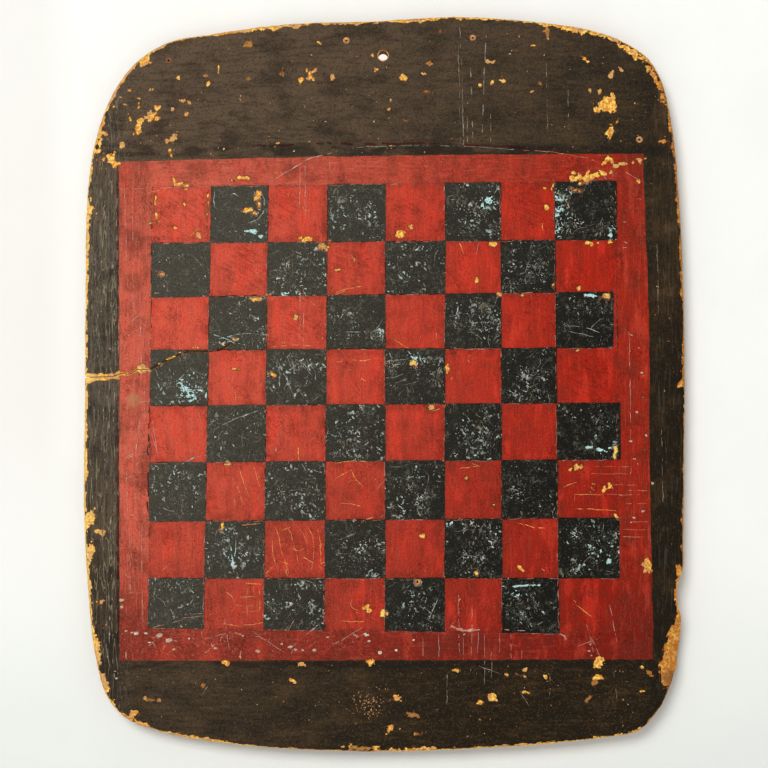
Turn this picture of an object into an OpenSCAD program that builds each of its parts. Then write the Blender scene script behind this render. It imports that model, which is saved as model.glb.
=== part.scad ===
// A one-board checkerboard that hangs on a wall, with its coats of paint as separate films.
// +Z is up, the play face looks along -Y, and the origin is the hanging hole's axis at the back face.

/* [Squares] */
// Width of one square
square_w = 38; // [24:0.5:46]
// Height of one square
square_h = 36.3; // [24:0.1:46]
// Red margin at the left and right of the squares
margin_side = 19.8; // [6:0.1:40]
// Red margin above the squares
margin_top = 17; // [6:0.5:40]
// Red margin below the squares
margin_bottom = 19; // [6:0.5:40]

/* [Dark border] */
// Dark band at the left and right of the red field
band_side = 23.7; // [16:0.1:50]
// Dark band above the red field
band_top = 92.3; // [60:0.1:130]
// Dark band below the red field
band_bottom = 59.4; // [40:0.1:110]

/* [Panel] */
// Thickness of the wooden panel
panel_t = 12.7; // [8:0.1:22]
// How far wear rounds the front edge, across the face
front_wear = 2.2; // [0.8:0.1:3.5]
// How far wear rounds the front edge, down the side
front_wear_down = 2.9; // [0.8:0.1:4]
// How far wear rounds the back edge
back_wear = 1.2; // [0.4:0.1:2.5]

/* [Hanging hole] */
// Diameter of the hole
hole_d = 6.35; // [4:0.05:9]
// From the top edge down to the hole's centre
hole_drop = 25.8; // [14:0.1:45]
// How far the hole sits left of the panel's middle
hole_shift = 0.5; // [-8:0.1:8]
// Bare ring worn round the hole
hole_ring = 1.1; // [0.4:0.1:3]

/* [Old nail holes] */
// Diameter of a nail hole
nail_d = 1.6; // [1:0.1:2.5]
// Depth of a nail hole
nail_depth = 6; // [2:0.5:7.5]
// Bare ring round a nail hole
nail_ring = 1.5; // [0.5:0.1:3]

/* [Split] */
// Height of the split at the left edge, above the bottom edge
split_up = 243; // [150:1:320]
// How far the split runs into the panel
split_run = 98; // [40:1:150]
// How far the split climbs along its run
split_rise = 23.5; // [0:0.5:40]
// Gap of the split at the edge
split_gap = 1; // [0.4:0.1:2]
// Gap of the split at its tip
split_tip = 0.4; // [0.2:0.1:0.8]
// Bare wood along each lip of the split
split_bare = 1.4; // [0.3:0.1:3]

/* [Worn places on the right edge] */
// Height of the shallow bite, above the bottom edge
bite_up = 102; // [90:1:115]
// Length of the bite, where it crosses the panel's widest line
bite_len = 34; // [20:0.5:40]
// Depth of the bite, from the panel's widest line
bite_in = 5; // [3:0.1:7]
// Height of the broken front edge's middle, above the bottom edge
break_up = 64; // [55:1:72]
// Length of the broken front edge
break_len = 50; // [20:1:60]
// Width of the break across the face
break_w = 11; // [4:0.5:16]
// Depth of the break down the edge
break_d = 4; // [1.5:0.1:6]
// How far the edge lies in from the widest line at the break
break_inset = 3.5; // [2.5:0.1:4.5]

/* [Paint] */
// Thickness of the red field's coat
field_t = 0.3; // [0.15:0.05:0.6]
// Thickness of the dark border's coat
border_t = 0.3; // [0.15:0.05:0.6]
// Thickness of the pale blue coat under the dark squares
blue_t = 0.2; // [0.1:0.05:0.4]
// Thickness of the black coat on the dark squares
black_t = 0.2; // [0.1:0.05:0.4]
// Thickness of the second red coat on the light squares
red_t = 0.2; // [0.1:0.05:0.4]
// Bare rim between the flat face's edge and the border's paint
rim_bare = 0.8; // [0.3:0.1:3]

/* [Hidden] */
COUNT = 8;
RANKS = [1:COUNT];

// Sides of a round hole, and how far a cut runs past what it cuts
round_fn = 64;
over = 1;

field_w = COUNT * square_w + 2 * margin_side;
field_h = COUNT * square_h + margin_top + margin_bottom;
board_w = field_w + 2 * band_side;
board_h = field_h + band_top + band_bottom;

// The panel's reach, from the hanging hole
left = hole_shift - board_w / 2;
right = hole_shift + board_w / 2;
top = hole_drop;
bottom = hole_drop - board_h;

field_left = left + band_side;
field_top = top - band_top;
grid_left = field_left + margin_side;
grid_top = field_top - margin_top;

// The hand-cut outline: how far each place lies in from the widest lines. Along a side it is
// [share of the side, inset], and at a corner [inset from the side, inset from the top or bottom].
left_side = [[0.33, 0], [0.45, 0.5], [0.62, 1]];
top_left = [
    [2.5, 114.5], [4.5, 95.5], [11.5, 67.5], [19.5, 49], [27, 37.5], [40, 25], [55.5, 16.5], [82, 11.5]
];
top_side = [[0.35, 4.5], [0.48, 3], [0.62, 0], [0.77, 4]];
top_right = [[63.5, 8], [42, 15], [22.5, 28], [14, 43], [9, 63], [3, 119.5]];
right_side = [[0.61, 0], [0.34, 0]];
bottom_right = [[2, 79], [4.5, 57], [9, 41.5], [17, 25.5], [30, 12.5], [47.5, 9], [62, 7]];
bottom_side = [[0.78, 4.5], [0.69, 2], [0.39, 0]];
bottom_left = [[82.5, 6], [49.5, 12.5], [26, 22], [14.5, 36], [8.5, 56], [3, 101]];

stations = concat(
    [for (s = left_side) [left + s[1], bottom + s[0] * board_h]],
    [for (s = top_left) [left + s[0], top - s[1]]],
    [for (s = top_side) [left + s[0] * board_w, top - s[1]]],
    [for (s = top_right) [right - s[0], top - s[1]]],
    [for (s = right_side) [right - s[1], bottom + s[0] * board_h]],
    [for (s = bottom_right) [right - s[0], bottom + s[1]]],
    [for (s = bottom_side) [left + s[0] * board_w, bottom + s[1]]],
    [for (s = bottom_left) [left + s[0], bottom + s[1]]]
);

// Points on the curve from each station to the next
steps = 4;

// How far the hand-ruled lines stray from an even grid, at each line's two ends
column_at_top = [1.5, 2, 1, 1.5, 1, 2, 0, -3, -1];
column_at_bottom = [-1, -3, -2, -0.5, 1, 1.5, 1, 0, 1];
row_at_left = [-2, -2, -1, 1, 1, 0.5, -1.5, -2, 2];
row_at_right = [2, 0, 2.5, 2.5, 3, 2.5, 1, -2, -2];

// How far each corner of the red field strays, from its top left corner round clockwise
field_stray = [[0, -2.5], [-3.5, 2.5], [3.5, 0.5], [0, -0.5]];

// The split's line as shares of its run and its rise
split_line = [
    [0, 0], [0.2, 0.03], [0.25, 0.11], [0.31, 0.09], [0.36, 0.22], [0.45, 0.23], [0.5, 0.36],
    [0.57, 0.51], [0.69, 0.71], [0.79, 0.71], [0.91, 0.77], [0.95, 0.86], [1, 1]
];

// Old nail holes in the top band: [share of the panel's width, share of the band from its top]
band_nails = [[0.142, 0.314], [0.438, 0.174], [0.648, 0.154], [0.925, 0.871]];

// The one among the squares: its column line and row line, and the share of a square to its right.
// Its bare ring lies just below the row line.
grid_nail = [4, 7, 0.55];
nail_clear = 0.4;

// Places where paint has come away: [share of the width, share of the height, radius, turn]. The
// shares are those of the top band, the bottom band or the red field, from its lower left corner.
top_chips = [
    [0.868, 0.384, 4, 20], [0.873, 0.197, 3.4, 80], [0.117, 0.316, 3.2, 10], [0.145, 0.125, 2.6, 60],
    [0.065, 0.088, 2.4, 130], [0.38, 0.591, 2.6, 40], [0.224, 0.617, 2, 95]
];
bottom_chips = [
    [0.861, 0.805, 2.6, 15], [0.52, 0.588, 2.2, 70], [0.678, 0.58, 2.6, 0], [0.35, 0.757, 2.2, 25],
    [0.51, 0.266, 2.4, 50]
];
field_chips = [[1, 0.189, 3.2, 30], [0.942, 0.981, 3, 75], [0.5, 0.09, 2.2, 10], [0, 0.521, 2, 45]];

// A flake's corners, and how oval and how ragged it is, as shares of its radius
chip_points = 14;
chip_oval = 0.28;
chip_ragged = 0.2;

// The worn front edge's profile from the side to the face, as shares of its depth and its width
front_profile = [[0, 0], [0.7, 0.35], [1, 1]];

function lerp(a, b, t) = a + (b - a) * t;
function at(list, i) = list[(i + len(list)) % len(list)];

// The way the outline runs at a station, weighted so that uneven spacing stays smooth
function heading(i) =
    let (back = at(stations, i) - at(stations, i - 1), ahead = at(stations, i + 1) - at(stations, i))
    (back * norm(ahead) / norm(back) + ahead * norm(back) / norm(ahead)) / (norm(back) + norm(ahead));

// A point between two stations, on a curve that leaves and meets both along their headings
function between(i, t) =
    let (a = at(stations, i), b = at(stations, i + 1), reach = norm(b - a))
    a * (2 * t * t * t - 3 * t * t + 1) + b * (3 * t * t - 2 * t * t * t)
    + heading(i) * reach * (t * t * t - 2 * t * t + t) + heading(i + 1) * reach * (t * t * t - t * t);

outline = [for (i = [0:len(stations) - 1], k = [0:steps - 1]) between(i, k / steps)];

// The outline runs clockwise seen from the front, so its right-hand side is the inside
function inward(i) =
    let (way = at(outline, i + 1) - at(outline, i - 1))
    [way[1], -way[0]] / norm(way);
function inset(amount) = [for (i = [0:len(outline) - 1]) outline[i] + inward(i) * amount];

// Where the ruled lines cross: column line i from the left, row line j from the top
function crossing(i, j) = [
    grid_left + i * square_w + lerp(column_at_top[i], column_at_bottom[i], j / COUNT),
    grid_top - j * square_h + lerp(row_at_left[j], row_at_right[j], i / COUNT)
];

function field_corners() = [
    [field_left, field_top] + field_stray[0],
    [field_left + field_w, field_top] + field_stray[1],
    [field_left + field_w, field_top - field_h] + field_stray[2],
    [field_left, field_top - field_h] + field_stray[3]
];

function on_board(share) = [left + share[0] * board_w, bottom + share[1] * board_h];
function on_top_band(share) = [left + share[0] * board_w, top - band_top + share[1] * band_top];
function on_bottom_band(share) = [left + share[0] * board_w, bottom + share[1] * band_bottom];
function on_field(share) = [field_left + share[0] * field_w, field_top - field_h + share[1] * field_h];

nail_places = concat(
    [for (n = band_nails) on_top_band([n[0], 1 - n[1]])],
    [crossing(grid_nail[0], grid_nail[1])
        + [grid_nail[2] * square_w, -nail_d / 2 - nail_ring - nail_clear]]
);

// A place on the split's line, and half its gap there
function on_split(share) = [left + share[0] * split_run, bottom + split_up + share[1] * split_rise];
function split_half(share) = lerp(split_gap, split_tip, share) / 2;

// Turns a flat shape upright and gives it a thickness, from a depth in front of the back face
module upright(depth, thick) {
    translate([0, -depth, 0]) rotate([90, 0, 0]) linear_extrude(thick) children();
}

// A round pin or hole across the panel
module across(place, d, from, length) {
    translate([place[0], -from, place[1]]) rotate([90, 0, 0]) cylinder(d = d, h = length, $fn = round_fn);
}

// The slab as rings of the outline, drawn in where wear has rounded its edges. Each flat face is
// a fan of triangles round its middle.
module worn_slab() {
    rings = concat(
        [[0, back_wear], [back_wear, 0]],
        [for (s = front_profile) [panel_t - (1 - s[0]) * front_wear_down, s[1] * front_wear]]
    );
    n = len(outline);
    middle = on_board([0.5, 0.5]);
    points = concat(
        [for (r = rings, p = inset(r[1])) [p[0], -r[0], p[1]]],
        [for (y = [0, -panel_t]) [middle[0], y, middle[1]]]
    );
    back_middle = len(rings) * n;
    front_middle = back_middle + 1;
    front_ring = (len(rings) - 1) * n;
    bands = [
        for (k = [0:len(rings) - 2], i = [0:n - 1])
            let (a = k * n + i, b = k * n + (i + 1) % n)
            each [[a, a + n, b + n], [a, b + n, b]]
    ];
    back = [for (i = [0:n - 1]) [back_middle, i, (i + 1) % n]];
    front = [for (i = [0:n - 1]) [front_middle, front_ring + (i + 1) % n, front_ring + i]];
    polyhedron(points = points, faces = concat(back, bands, front));
}

// The split seen from the front, opened by an extra amount on each side
module split_shape(extra) {
    upper = [for (s = split_line) on_split(s) + [0, split_half(s[0]) + extra]];
    lower = [for (s = split_line) on_split(s) - [0, split_half(s[0]) + extra]];
    back = [for (i = [len(lower) - 1:-1:0]) lower[i]];
    outside = [over, 0];
    polygon(concat([upper[0] - outside], upper, back, [lower[0] - outside]));
}

// A shallow bite out of the right edge, part of a large circle
module bite_shape() {
    r = (bite_len * bite_len / 4 + bite_in * bite_in) / (2 * bite_in);
    translate([right - bite_in + r, bottom + bite_up]) circle(r = r, $fn = 4 * round_fn);
}

// The front edge broken away, part of a large ball
module broken_edge() {
    deep = break_w * break_d / norm([break_w, break_d]);
    r = (break_len * break_len / 4 + deep * deep) / (2 * deep);
    out = [break_d, break_w] / norm([break_w, break_d]);
    translate([
        right - break_inset + out[0] * (r - deep), -panel_t - out[1] * (r - deep), bottom + break_up
    ]) sphere(r = r, $fn = round_fn);
}

// What the broken edge has taken off the face, with a bare rim round it
module broken_face() {
    reach = break_inset + break_w + rim_bare;
    r = (break_len * break_len / 4 + reach * reach) / (2 * reach);
    translate([right - reach + r, bottom + break_up]) circle(r = r, $fn = 4 * round_fn);
}

// One flake's outline, uneven but always the same for the same turn
module chip_shape(place, chip) {
    polygon([
        for (k = [0:chip_points - 1])
            let (
                a = 360 * k / chip_points,
                r = chip[2] * (1 + chip_oval * sin(2 * a + chip[3]) + chip_ragged * sin(5 * a - chip[3]))
            )
            place + r * [cos(a), sin(a)]
    ]);
}

// What is missing from every coat: the holes with their bare rings, and the split's lips
module bare_places() {
    circle(d = hole_d + 2 * hole_ring, $fn = round_fn);
    for (p = nail_places) translate(p) circle(d = nail_d + 2 * nail_ring, $fn = round_fn);
    split_shape(split_bare);
}

module square_shape(file, rank) {
    polygon([
        crossing(file - 1, rank - 1), crossing(file, rank - 1), crossing(file, rank), crossing(file - 1, rank)
    ]);
}

// Every second square of a rank: the dark ones have an odd sum of file and rank
module rank_of(rank, dark, depth, thick) {
    for (file = RANKS)
        if (((file + rank) % 2 == 1) == dark)
            upright(depth, thick) difference() {
                square_shape(file, rank);
                bare_places();
            }
}

module panel() {
    color("peru") difference() {
        worn_slab();
        across([0, 0], hole_d, -over, panel_t + 2 * over);
        for (p = nail_places) across(p, nail_d, panel_t - nail_depth, nail_depth + over);
        upright(-over, panel_t + 2 * over) split_shape(0);
        upright(-over, panel_t + 2 * over) bite_shape();
        broken_edge();
    }
}

module border_coat() {
    color([0.2, 0.17, 0.14]) upright(panel_t, border_t) difference() {
        polygon(inset(front_wear + rim_bare));
        polygon(field_corners());
        bare_places();
        translate([-rim_bare, 0]) bite_shape();
        for (c = top_chips) chip_shape(on_top_band(c), c);
        for (c = bottom_chips) chip_shape(on_bottom_band(c), c);
        broken_face();
    }
}

module field_coat() {
    color([0.55, 0.14, 0.1]) upright(panel_t, field_t) difference() {
        polygon(field_corners());
        bare_places();
        for (c = field_chips) chip_shape(on_field(c), c);
    }
}

module blue_undercoat(rank) {
    color([0.62, 0.75, 0.76]) rank_of(rank, true, panel_t + field_t, blue_t);
}

module dark_squares(rank) {
    color([0.15, 0.15, 0.14]) rank_of(rank, true, panel_t + field_t + blue_t, black_t);
}

module light_squares(rank) {
    color([0.72, 0.17, 0.12]) rank_of(rank, false, panel_t + field_t, red_t);
}

panel();
border_coat();
field_coat();
for (r = RANKS) {
    blue_undercoat(r);
    dark_squares(r);
    light_squares(r);
}
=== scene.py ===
"""Looks of an old painted checkerboard: one wooden panel and the coats of paint on it.

The panel hangs from a hole in its top band. Its edges are worn, a split runs in from the left and
its lower right edge is broken. A dark border, a red field and black and red squares are painted on
it, and each coat has come away in places and shows what lies under it.

Plans are in millimetres, x to the right of the hanging hole and z above it. Meshes are in metres.
"""

import logging
import math
import sys
from collections.abc import Callable, Iterable, Sequence
from dataclasses import dataclass, field, replace
from enum import Enum, IntEnum

import bmesh
import bpy
import numpy as np
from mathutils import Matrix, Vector
from mathutils.bvhtree import BVHTree
from mathutils.geometry import delaunay_2d_cdt


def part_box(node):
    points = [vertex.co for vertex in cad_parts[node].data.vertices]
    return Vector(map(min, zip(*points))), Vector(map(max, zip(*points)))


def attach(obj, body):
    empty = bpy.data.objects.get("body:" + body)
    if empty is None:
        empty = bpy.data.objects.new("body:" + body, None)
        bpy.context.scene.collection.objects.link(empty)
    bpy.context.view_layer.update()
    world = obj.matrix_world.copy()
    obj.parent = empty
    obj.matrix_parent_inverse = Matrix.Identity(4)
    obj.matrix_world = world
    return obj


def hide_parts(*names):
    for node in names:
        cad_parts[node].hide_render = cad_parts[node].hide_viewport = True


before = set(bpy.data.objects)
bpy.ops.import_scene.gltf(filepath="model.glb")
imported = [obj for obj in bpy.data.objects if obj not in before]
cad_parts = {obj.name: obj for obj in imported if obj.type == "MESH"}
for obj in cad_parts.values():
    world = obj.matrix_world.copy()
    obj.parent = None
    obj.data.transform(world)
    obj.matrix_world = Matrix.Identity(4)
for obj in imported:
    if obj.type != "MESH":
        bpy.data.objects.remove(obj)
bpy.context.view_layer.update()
BODY = "root"
MM = 0.001
LOG = logging.getLogger("checkerboard")

Array = np.ndarray
Place = tuple[float, float]
Triple = tuple[float, float, float]
Spots = tuple[Triple, ...]
Colour = tuple[float, float, float, float]
Socket = bpy.types.NodeSocket
Material = bpy.types.Material
Piece = bpy.types.Object


class Layer(IntEnum):
    """The layers from the wood up. A flake reaches down to one of them."""

    WOOD = 0
    FIELD = 1
    BLUE = 2
    TOP = 3


class Slot(Enum):
    """The record's material slots."""

    WOOD = "aged_wood"
    BORDER = "border_paint"
    FIELD = "field_paint"
    BLUE = "blue_paint"
    BLACK = "black_paint"
    RED = "red_paint"


@dataclass(frozen=True)
class Noise:
    """Smooth seeded noise over the plan, from about -1 to 1.

    Attributes:
        swell: Size of its largest swells, in millimetres.
        seed: Chooses the pattern.
        octaves: How many finer sizes are laid over the first.
        stretch: How much longer the swells are along x and along z.
    """

    swell: float
    seed: int
    octaves: int = 2
    stretch: Place = (1.0, 1.0)

    def at(self, x: Array, z: Array) -> Array:
        """Returns the noise at each place."""
        total = np.zeros(np.shape(x))
        weight = 1.0
        size = self.swell
        whole = 0.0
        for octave in range(self.octaves):
            u = np.asarray(x) / (size * self.stretch[0]) + 37.1 * octave
            v = np.asarray(z) / (size * self.stretch[1]) - 11.7 * octave
            total += weight * self._swells(u, v, self.seed + 101 * octave)
            whole += weight
            weight /= 2
            size /= 2
        return total / whole * 1.4

    @staticmethod
    def _swells(u: Array, v: Array, seed: int) -> Array:
        """Returns one size of noise, blended between the corners of a unit lattice."""
        iu = np.floor(u).astype(np.int64)
        iv = np.floor(v).astype(np.int64)
        fu = u - iu
        fv = v - iv
        fu = fu * fu * (3 - 2 * fu)
        fv = fv * fv * (3 - 2 * fv)

        def corner(du: int, dv: int) -> Array:
            """Returns the lattice's own value at a corner of each cell, mixed with large odd numbers."""
            h = ((iu + du) * 374761393 + (iv + dv) * 668265263 + seed * 144664531) & 0xFFFFFFFF
            h = ((h ^ (h >> 13)) * 1274126177) & 0xFFFFFFFF
            return ((h ^ (h >> 16)) & 0xFFFF) / 32767.5 - 1

        low = corner(0, 0) * (1 - fu) + corner(1, 0) * fu
        high = corner(0, 1) * (1 - fu) + corner(1, 1) * fu
        return low * (1 - fv) + high * fv


class Lattice:
    """An even grid of places on the plan, on which the paint's cover is worked out."""

    def __init__(self, low: Place, high: Place, step: float) -> None:
        """Lays the grid over a box of the plan.

        Args:
            low: The box's lower left corner.
            high: Its upper right corner.
            step: The grid's spacing.
        """
        self.step = step
        self.xs = np.arange(low[0], high[0] + step, step)
        self.zs = np.arange(low[1], high[1] + step, step)
        self.x, self.z = np.meshgrid(self.xs, self.zs)

    def window(self, low: Place, high: Place) -> tuple[slice, slice]:
        """Returns the rows and columns that cover a box of the plan."""
        c0, c1 = np.searchsorted(self.xs, (low[0], high[0]))
        r0, r1 = np.searchsorted(self.zs, (low[1], high[1]))
        return slice(r0, r1), slice(c0, c1)

    def places(self, chosen: Array) -> Array:
        """Returns the places of some nodes."""
        return np.stack([self.x[chosen], self.z[chosen]], 1)

    def near(self, points: Array, reach: float) -> Array:
        """Returns each node's distance to the closest point, up to a reach."""
        found = np.full(self.x.shape, reach)
        for px, pz in points:
            w = self.window((px - reach, pz - reach), (px + reach, pz + reach))
            found[w] = np.minimum(found[w], np.hypot(self.x[w] - px, self.z[w] - pz))
        return found

    def inside(self, loop: Array) -> Array:
        """Returns which nodes lie inside a closed loop."""
        a = loop
        b = np.roll(loop, -1, axis=0)
        found = np.zeros(self.x.shape, bool)
        for row, z in enumerate(self.zs):
            hit = (a[:, 1] > z) != (b[:, 1] > z)
            share = (z - a[hit, 1]) / (b[hit, 1] - a[hit, 1])
            crossings = np.sort(a[hit, 0] + share * (b[hit, 0] - a[hit, 0]))
            found[row] = np.searchsorted(crossings, self.xs) % 2 == 1
        return found

    def contour(self, cover: Array) -> tuple[Array, Array]:
        """Finds the line where a cover passes through nought.

        Args:
            cover: One value a node, above nought where there is paint.

        Returns:
            The line's points, and pairs of them that are joined.
        """
        rows, columns = cover.shape
        inside = cover > 0
        across = inside[:, 1:] != inside[:, :-1]
        along = inside[1:] != inside[:-1]
        number_across = np.full(across.shape, -1)
        number_across[across] = np.arange(across.sum())
        number_along = np.full(along.shape, -1)
        number_along[along] = np.arange(along.sum()) + across.sum()

        def share(a: Array, b: Array) -> Array:
            """Returns where the line crosses between two nodes, kept off the nodes."""
            return np.clip(a / (a - b), 0.1, 0.9)

        r, c = np.nonzero(across)
        t = share(cover[r, c], cover[r, c + 1])
        first = np.stack([self.xs[c] + t * self.step, self.zs[r]], 1)
        r, c = np.nonzero(along)
        t = share(cover[r, c], cover[r + 1, c])
        second = np.stack([self.xs[c], self.zs[r] + t * self.step], 1)
        below, above = number_across[:-1], number_across[1:]
        left, right = number_along[:, :-1], number_along[:, 1:]
        corners = inside[:-1, :-1] * 1 + inside[:-1, 1:] * 2 + inside[1:, 1:] * 4 + inside[1:, :-1] * 8
        filled = (cover[:-1, :-1] + cover[:-1, 1:] + cover[1:, 1:] + cover[1:, :-1]) > 0
        joins = []
        for cases, p, q in (
            ((1, 14), left, below), ((2, 13), below, right), ((4, 11), right, above), ((8, 7), above, left),
            ((3, 12), left, right), ((6, 9), below, above),
        ):
            here = np.isin(corners, cases)
            joins.append(np.stack([p[here], q[here]], 1))
        for case, apart in ((5, ((left, below), (right, above))), (10, ((below, right), (above, left)))):
            together = ((left, above), (right, below)) if case == 5 else ((below, left), (above, right))
            for pairs, here in ((apart, (corners == case) & ~filled), (together, (corners == case) & filled)):
                joins += [np.stack([p[here], q[here]], 1) for p, q in pairs]
        return np.concatenate([first, second]), np.concatenate(joins)

    def sample(self, values: Array, points: Array) -> Array:
        """Returns values blended between the nodes at each point."""
        u = np.clip((points[:, 0] - self.xs[0]) / self.step, 0, len(self.xs) - 1.001)
        v = np.clip((points[:, 1] - self.zs[0]) / self.step, 0, len(self.zs) - 1.001)
        c, r = u.astype(int), v.astype(int)
        u, v = u - c, v - r
        low = values[r, c] * (1 - u) + values[r, c + 1] * u
        high = values[r + 1, c] * (1 - u) + values[r + 1, c + 1] * u
        return low * (1 - v) + high * v


def triangulate(points: Array, joins: Array) -> tuple[Array, Array]:
    """Triangulates points so that every join is an edge.

    Args:
        points: Places on the plan.
        joins: Pairs of points.

    Returns:
        The places that the triangles use, and the triangles, anticlockwise seen from the front.
    """
    found = delaunay_2d_cdt([Vector(p) for p in points], joins.tolist(), [], 0, 1e-6, False)
    places = np.array([tuple(v) for v in found[0]])
    faces = np.array(found[2])
    a, b, c = places[faces[:, 0]], places[faces[:, 1]], places[faces[:, 2]]
    turn = (b[:, 0] - a[:, 0]) * (c[:, 1] - a[:, 1]) - (b[:, 1] - a[:, 1]) * (c[:, 0] - a[:, 0])
    faces[turn < 0] = faces[turn < 0][:, ::-1]
    return places, faces[np.abs(turn) > 1e-9]


def rim_edges(faces: Array) -> Array:
    """Returns the edges that only one triangle has, each in that triangle's own direction."""
    edges = np.concatenate([faces[:, [0, 1]], faces[:, [1, 2]], faces[:, [2, 0]]])
    _, index, count = np.unique(np.sort(edges, axis=1), axis=0, return_index=True, return_counts=True)
    return edges[index[count == 1]]


def walls(edges: Array, upper: int, lower: int) -> Array:
    """Returns quads between two levels of the same places, below some edges of the upper one."""
    a, b = edges.T
    return np.stack([b + upper, a + upper, a + lower, b + lower], 1)


def nearest(points: Array, line: Array) -> Array:
    """Returns how far each point is from the nearest point of a line."""
    return np.min(np.hypot(*(points[:, None] - line[None]).transpose(2, 0, 1)), axis=1)


def stand(name: str, data: bpy.types.ID) -> Piece:
    """Adds an object to the scene and returns it."""
    made = bpy.data.objects.new(name, data)
    bpy.context.scene.collection.objects.link(made)
    return made


def build(name: str, places: Array, faces: Iterable[Array], smooth: float | None = None) -> Piece:
    """Makes a mesh object from places in millimetres.

    Args:
        name: The object's name.
        places: Rows of x, y and z.
        faces: Arrays of triangles or of quads.
        smooth: Angle in degrees under which neighbouring faces are shaded as one, if any.

    Returns:
        The object, at the origin.
    """
    mesh = bpy.data.meshes.new(name)
    mesh.from_pydata((places * MM).tolist(), [], [f for part in faces for f in part.tolist()])
    used = bmesh.new()
    used.from_mesh(mesh)
    bmesh.ops.delete(used, geom=[v for v in used.verts if not v.link_faces], context="VERTS")
    used.to_mesh(mesh)
    used.free()
    if smooth is not None:
        mesh.shade_smooth()
        mesh.set_sharp_from_angle(angle=math.radians(smooth))
    return stand(name, mesh)


@dataclass(frozen=True)
class Flake:
    """A place where paint has come away.

    Attributes:
        x: How far right of the hanging hole it lies.
        down: How far below the hanging hole it lies.
        width: Its length along its own axis.
        height: Its width across that axis.
        turn: The axis's angle in degrees, anticlockwise from level.
        floor: The layer that shows in it.
        ragged: How uneven its edge is, as a share of its smaller size.
    """

    x: float
    down: float
    width: float
    height: float
    turn: float = 0.0
    floor: Layer = Layer.WOOD
    ragged: float = 0.42

    def carve(self, lattice: Lattice, cover: Array, layer: Layer) -> None:
        """Takes the flake out of a layer's cover.

        Args:
            lattice: The layer's grid.
            cover: Its cover, which is changed.
            layer: The layer. Upper layers have come away a little further.
        """
        if layer <= self.floor:
            return
        grow = 0.22 * (layer - self.floor - 1) + (0.32 if self.floor is Layer.WOOD else 0.0)
        reach = max(self.width, self.height) + 3 * lattice.step
        w = lattice.window((self.x - reach, -self.down - reach), (self.x + reach, -self.down + reach))
        x, z = lattice.x[w], lattice.z[w]
        if not x.size:
            return
        c, s = math.cos(math.radians(self.turn)), math.sin(math.radians(self.turn))
        u = (x - self.x) * c + (z + self.down) * s
        v = (z + self.down) * c - (x - self.x) * s
        bend = Noise(self.width * 0.6, 17, 1).at(x, z) * self.height * 0.25
        half = max(self.height / 2 + grow, 0.9 * lattice.step)
        away = (np.hypot(u / (self.width / 2 + grow), (v + bend) / half) - 1) * half
        uneven = min(1.3, min(self.width, self.height) * self.ragged)
        away += uneven * Noise(2.6, 5).at(x, z) + uneven * 0.7 * Noise(0.9, 6).at(x, z)
        cover[w] = np.minimum(cover[w], away)


def flakes(rows: Sequence[tuple[float, ...]], floor: Layer = Layer.WOOD, ragged: float = 0.42) -> list[Flake]:
    """Returns flakes from rows of x, down, width, height and turn."""
    return [Flake(*row, floor=floor, ragged=ragged) for row in rows]


# Amber chips in the dark bands, in the order left to right
TOP_BAND_LEFT = (
    (-150, 38, 8.5, 4, 35), (-147, 34.5, 4.5, 3, 62), (-152.5, 40.5, 5, 2.6, 5), (-146.5, 40, 3.5, 2.4),
    (-159, 46.5, 9, 3, 72), (-158, 43, 3, 3), (-165, 40, 4.6, 2.2, -55), (-168, 32, 4.6, 1.9, 8),
    (-175.5, 33, 3, 2.1), (-159, 31.5, 4, 1.9, 82), (-159, 28, 3, 1.5, -30), (-151, 22, 2.6, 2, 40),
    (-164.5, 22.5, 2, 1.5), (-170, 27, 2, 1.4, 10), (-137, 35, 3.2, 2, 60), (-130, 29, 4, 2.2, 15),
    (-126.5, 30, 2, 2.8), (-128, 38, 2.7, 1.8, 30), (-132, 41.5, 2.5, 1.5, 50), (-137, 53.5, 7.5, 2.8, 42),
    (-140, 56, 4, 2.8, 10), (-138.5, 62.5, 6.5, 1.7, -72), (-169.5, 58, 6.2, 2.2, 78),
    (-176, 67.5, 10, 5, 86), (-172, 70, 4, 2), (-181.5, 67.5, 3.4, 2.4, 30), (-182.5, 52, 7, 2.8, 18),
    (-181.5, 59.5, 4, 1.7, -60), (-157, 3, 8, 4.4, 48), (-107, 9.5, 4.6, 1.6, 85),
    (-113, 18, 2.6, 1.5, 70), (-115, 13, 1.7, 1.2), (-133, 14, 2.4, 1.8), (-88, 15, 3.4, 2.4, 20),
    (-88, -7.5, 6, 3.2, 10), (-57, -19, 5.5, 2.6, 8), (-66, 11, 3.4, 2.4, -40), (-47, 13.5, 5.4, 3.4, 82),
    (-43.5, 9, 5, 1.6, 55), (-49.5, 9.5, 3.8, 1.4, -68), (-53.5, 17, 4.8, 1.9, 66),
    (-32, 14, 3.2, 2.4, -20), (-42, -8.5, 4.2, 1.5, -45), (-68, 57, 3.5, 1.5, 25), (-70.5, 59, 1.9, 1.4),
    (-4, 9, 2.4, 1.9), (-7, -0.5, 2.2, 1.7),
)
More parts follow.
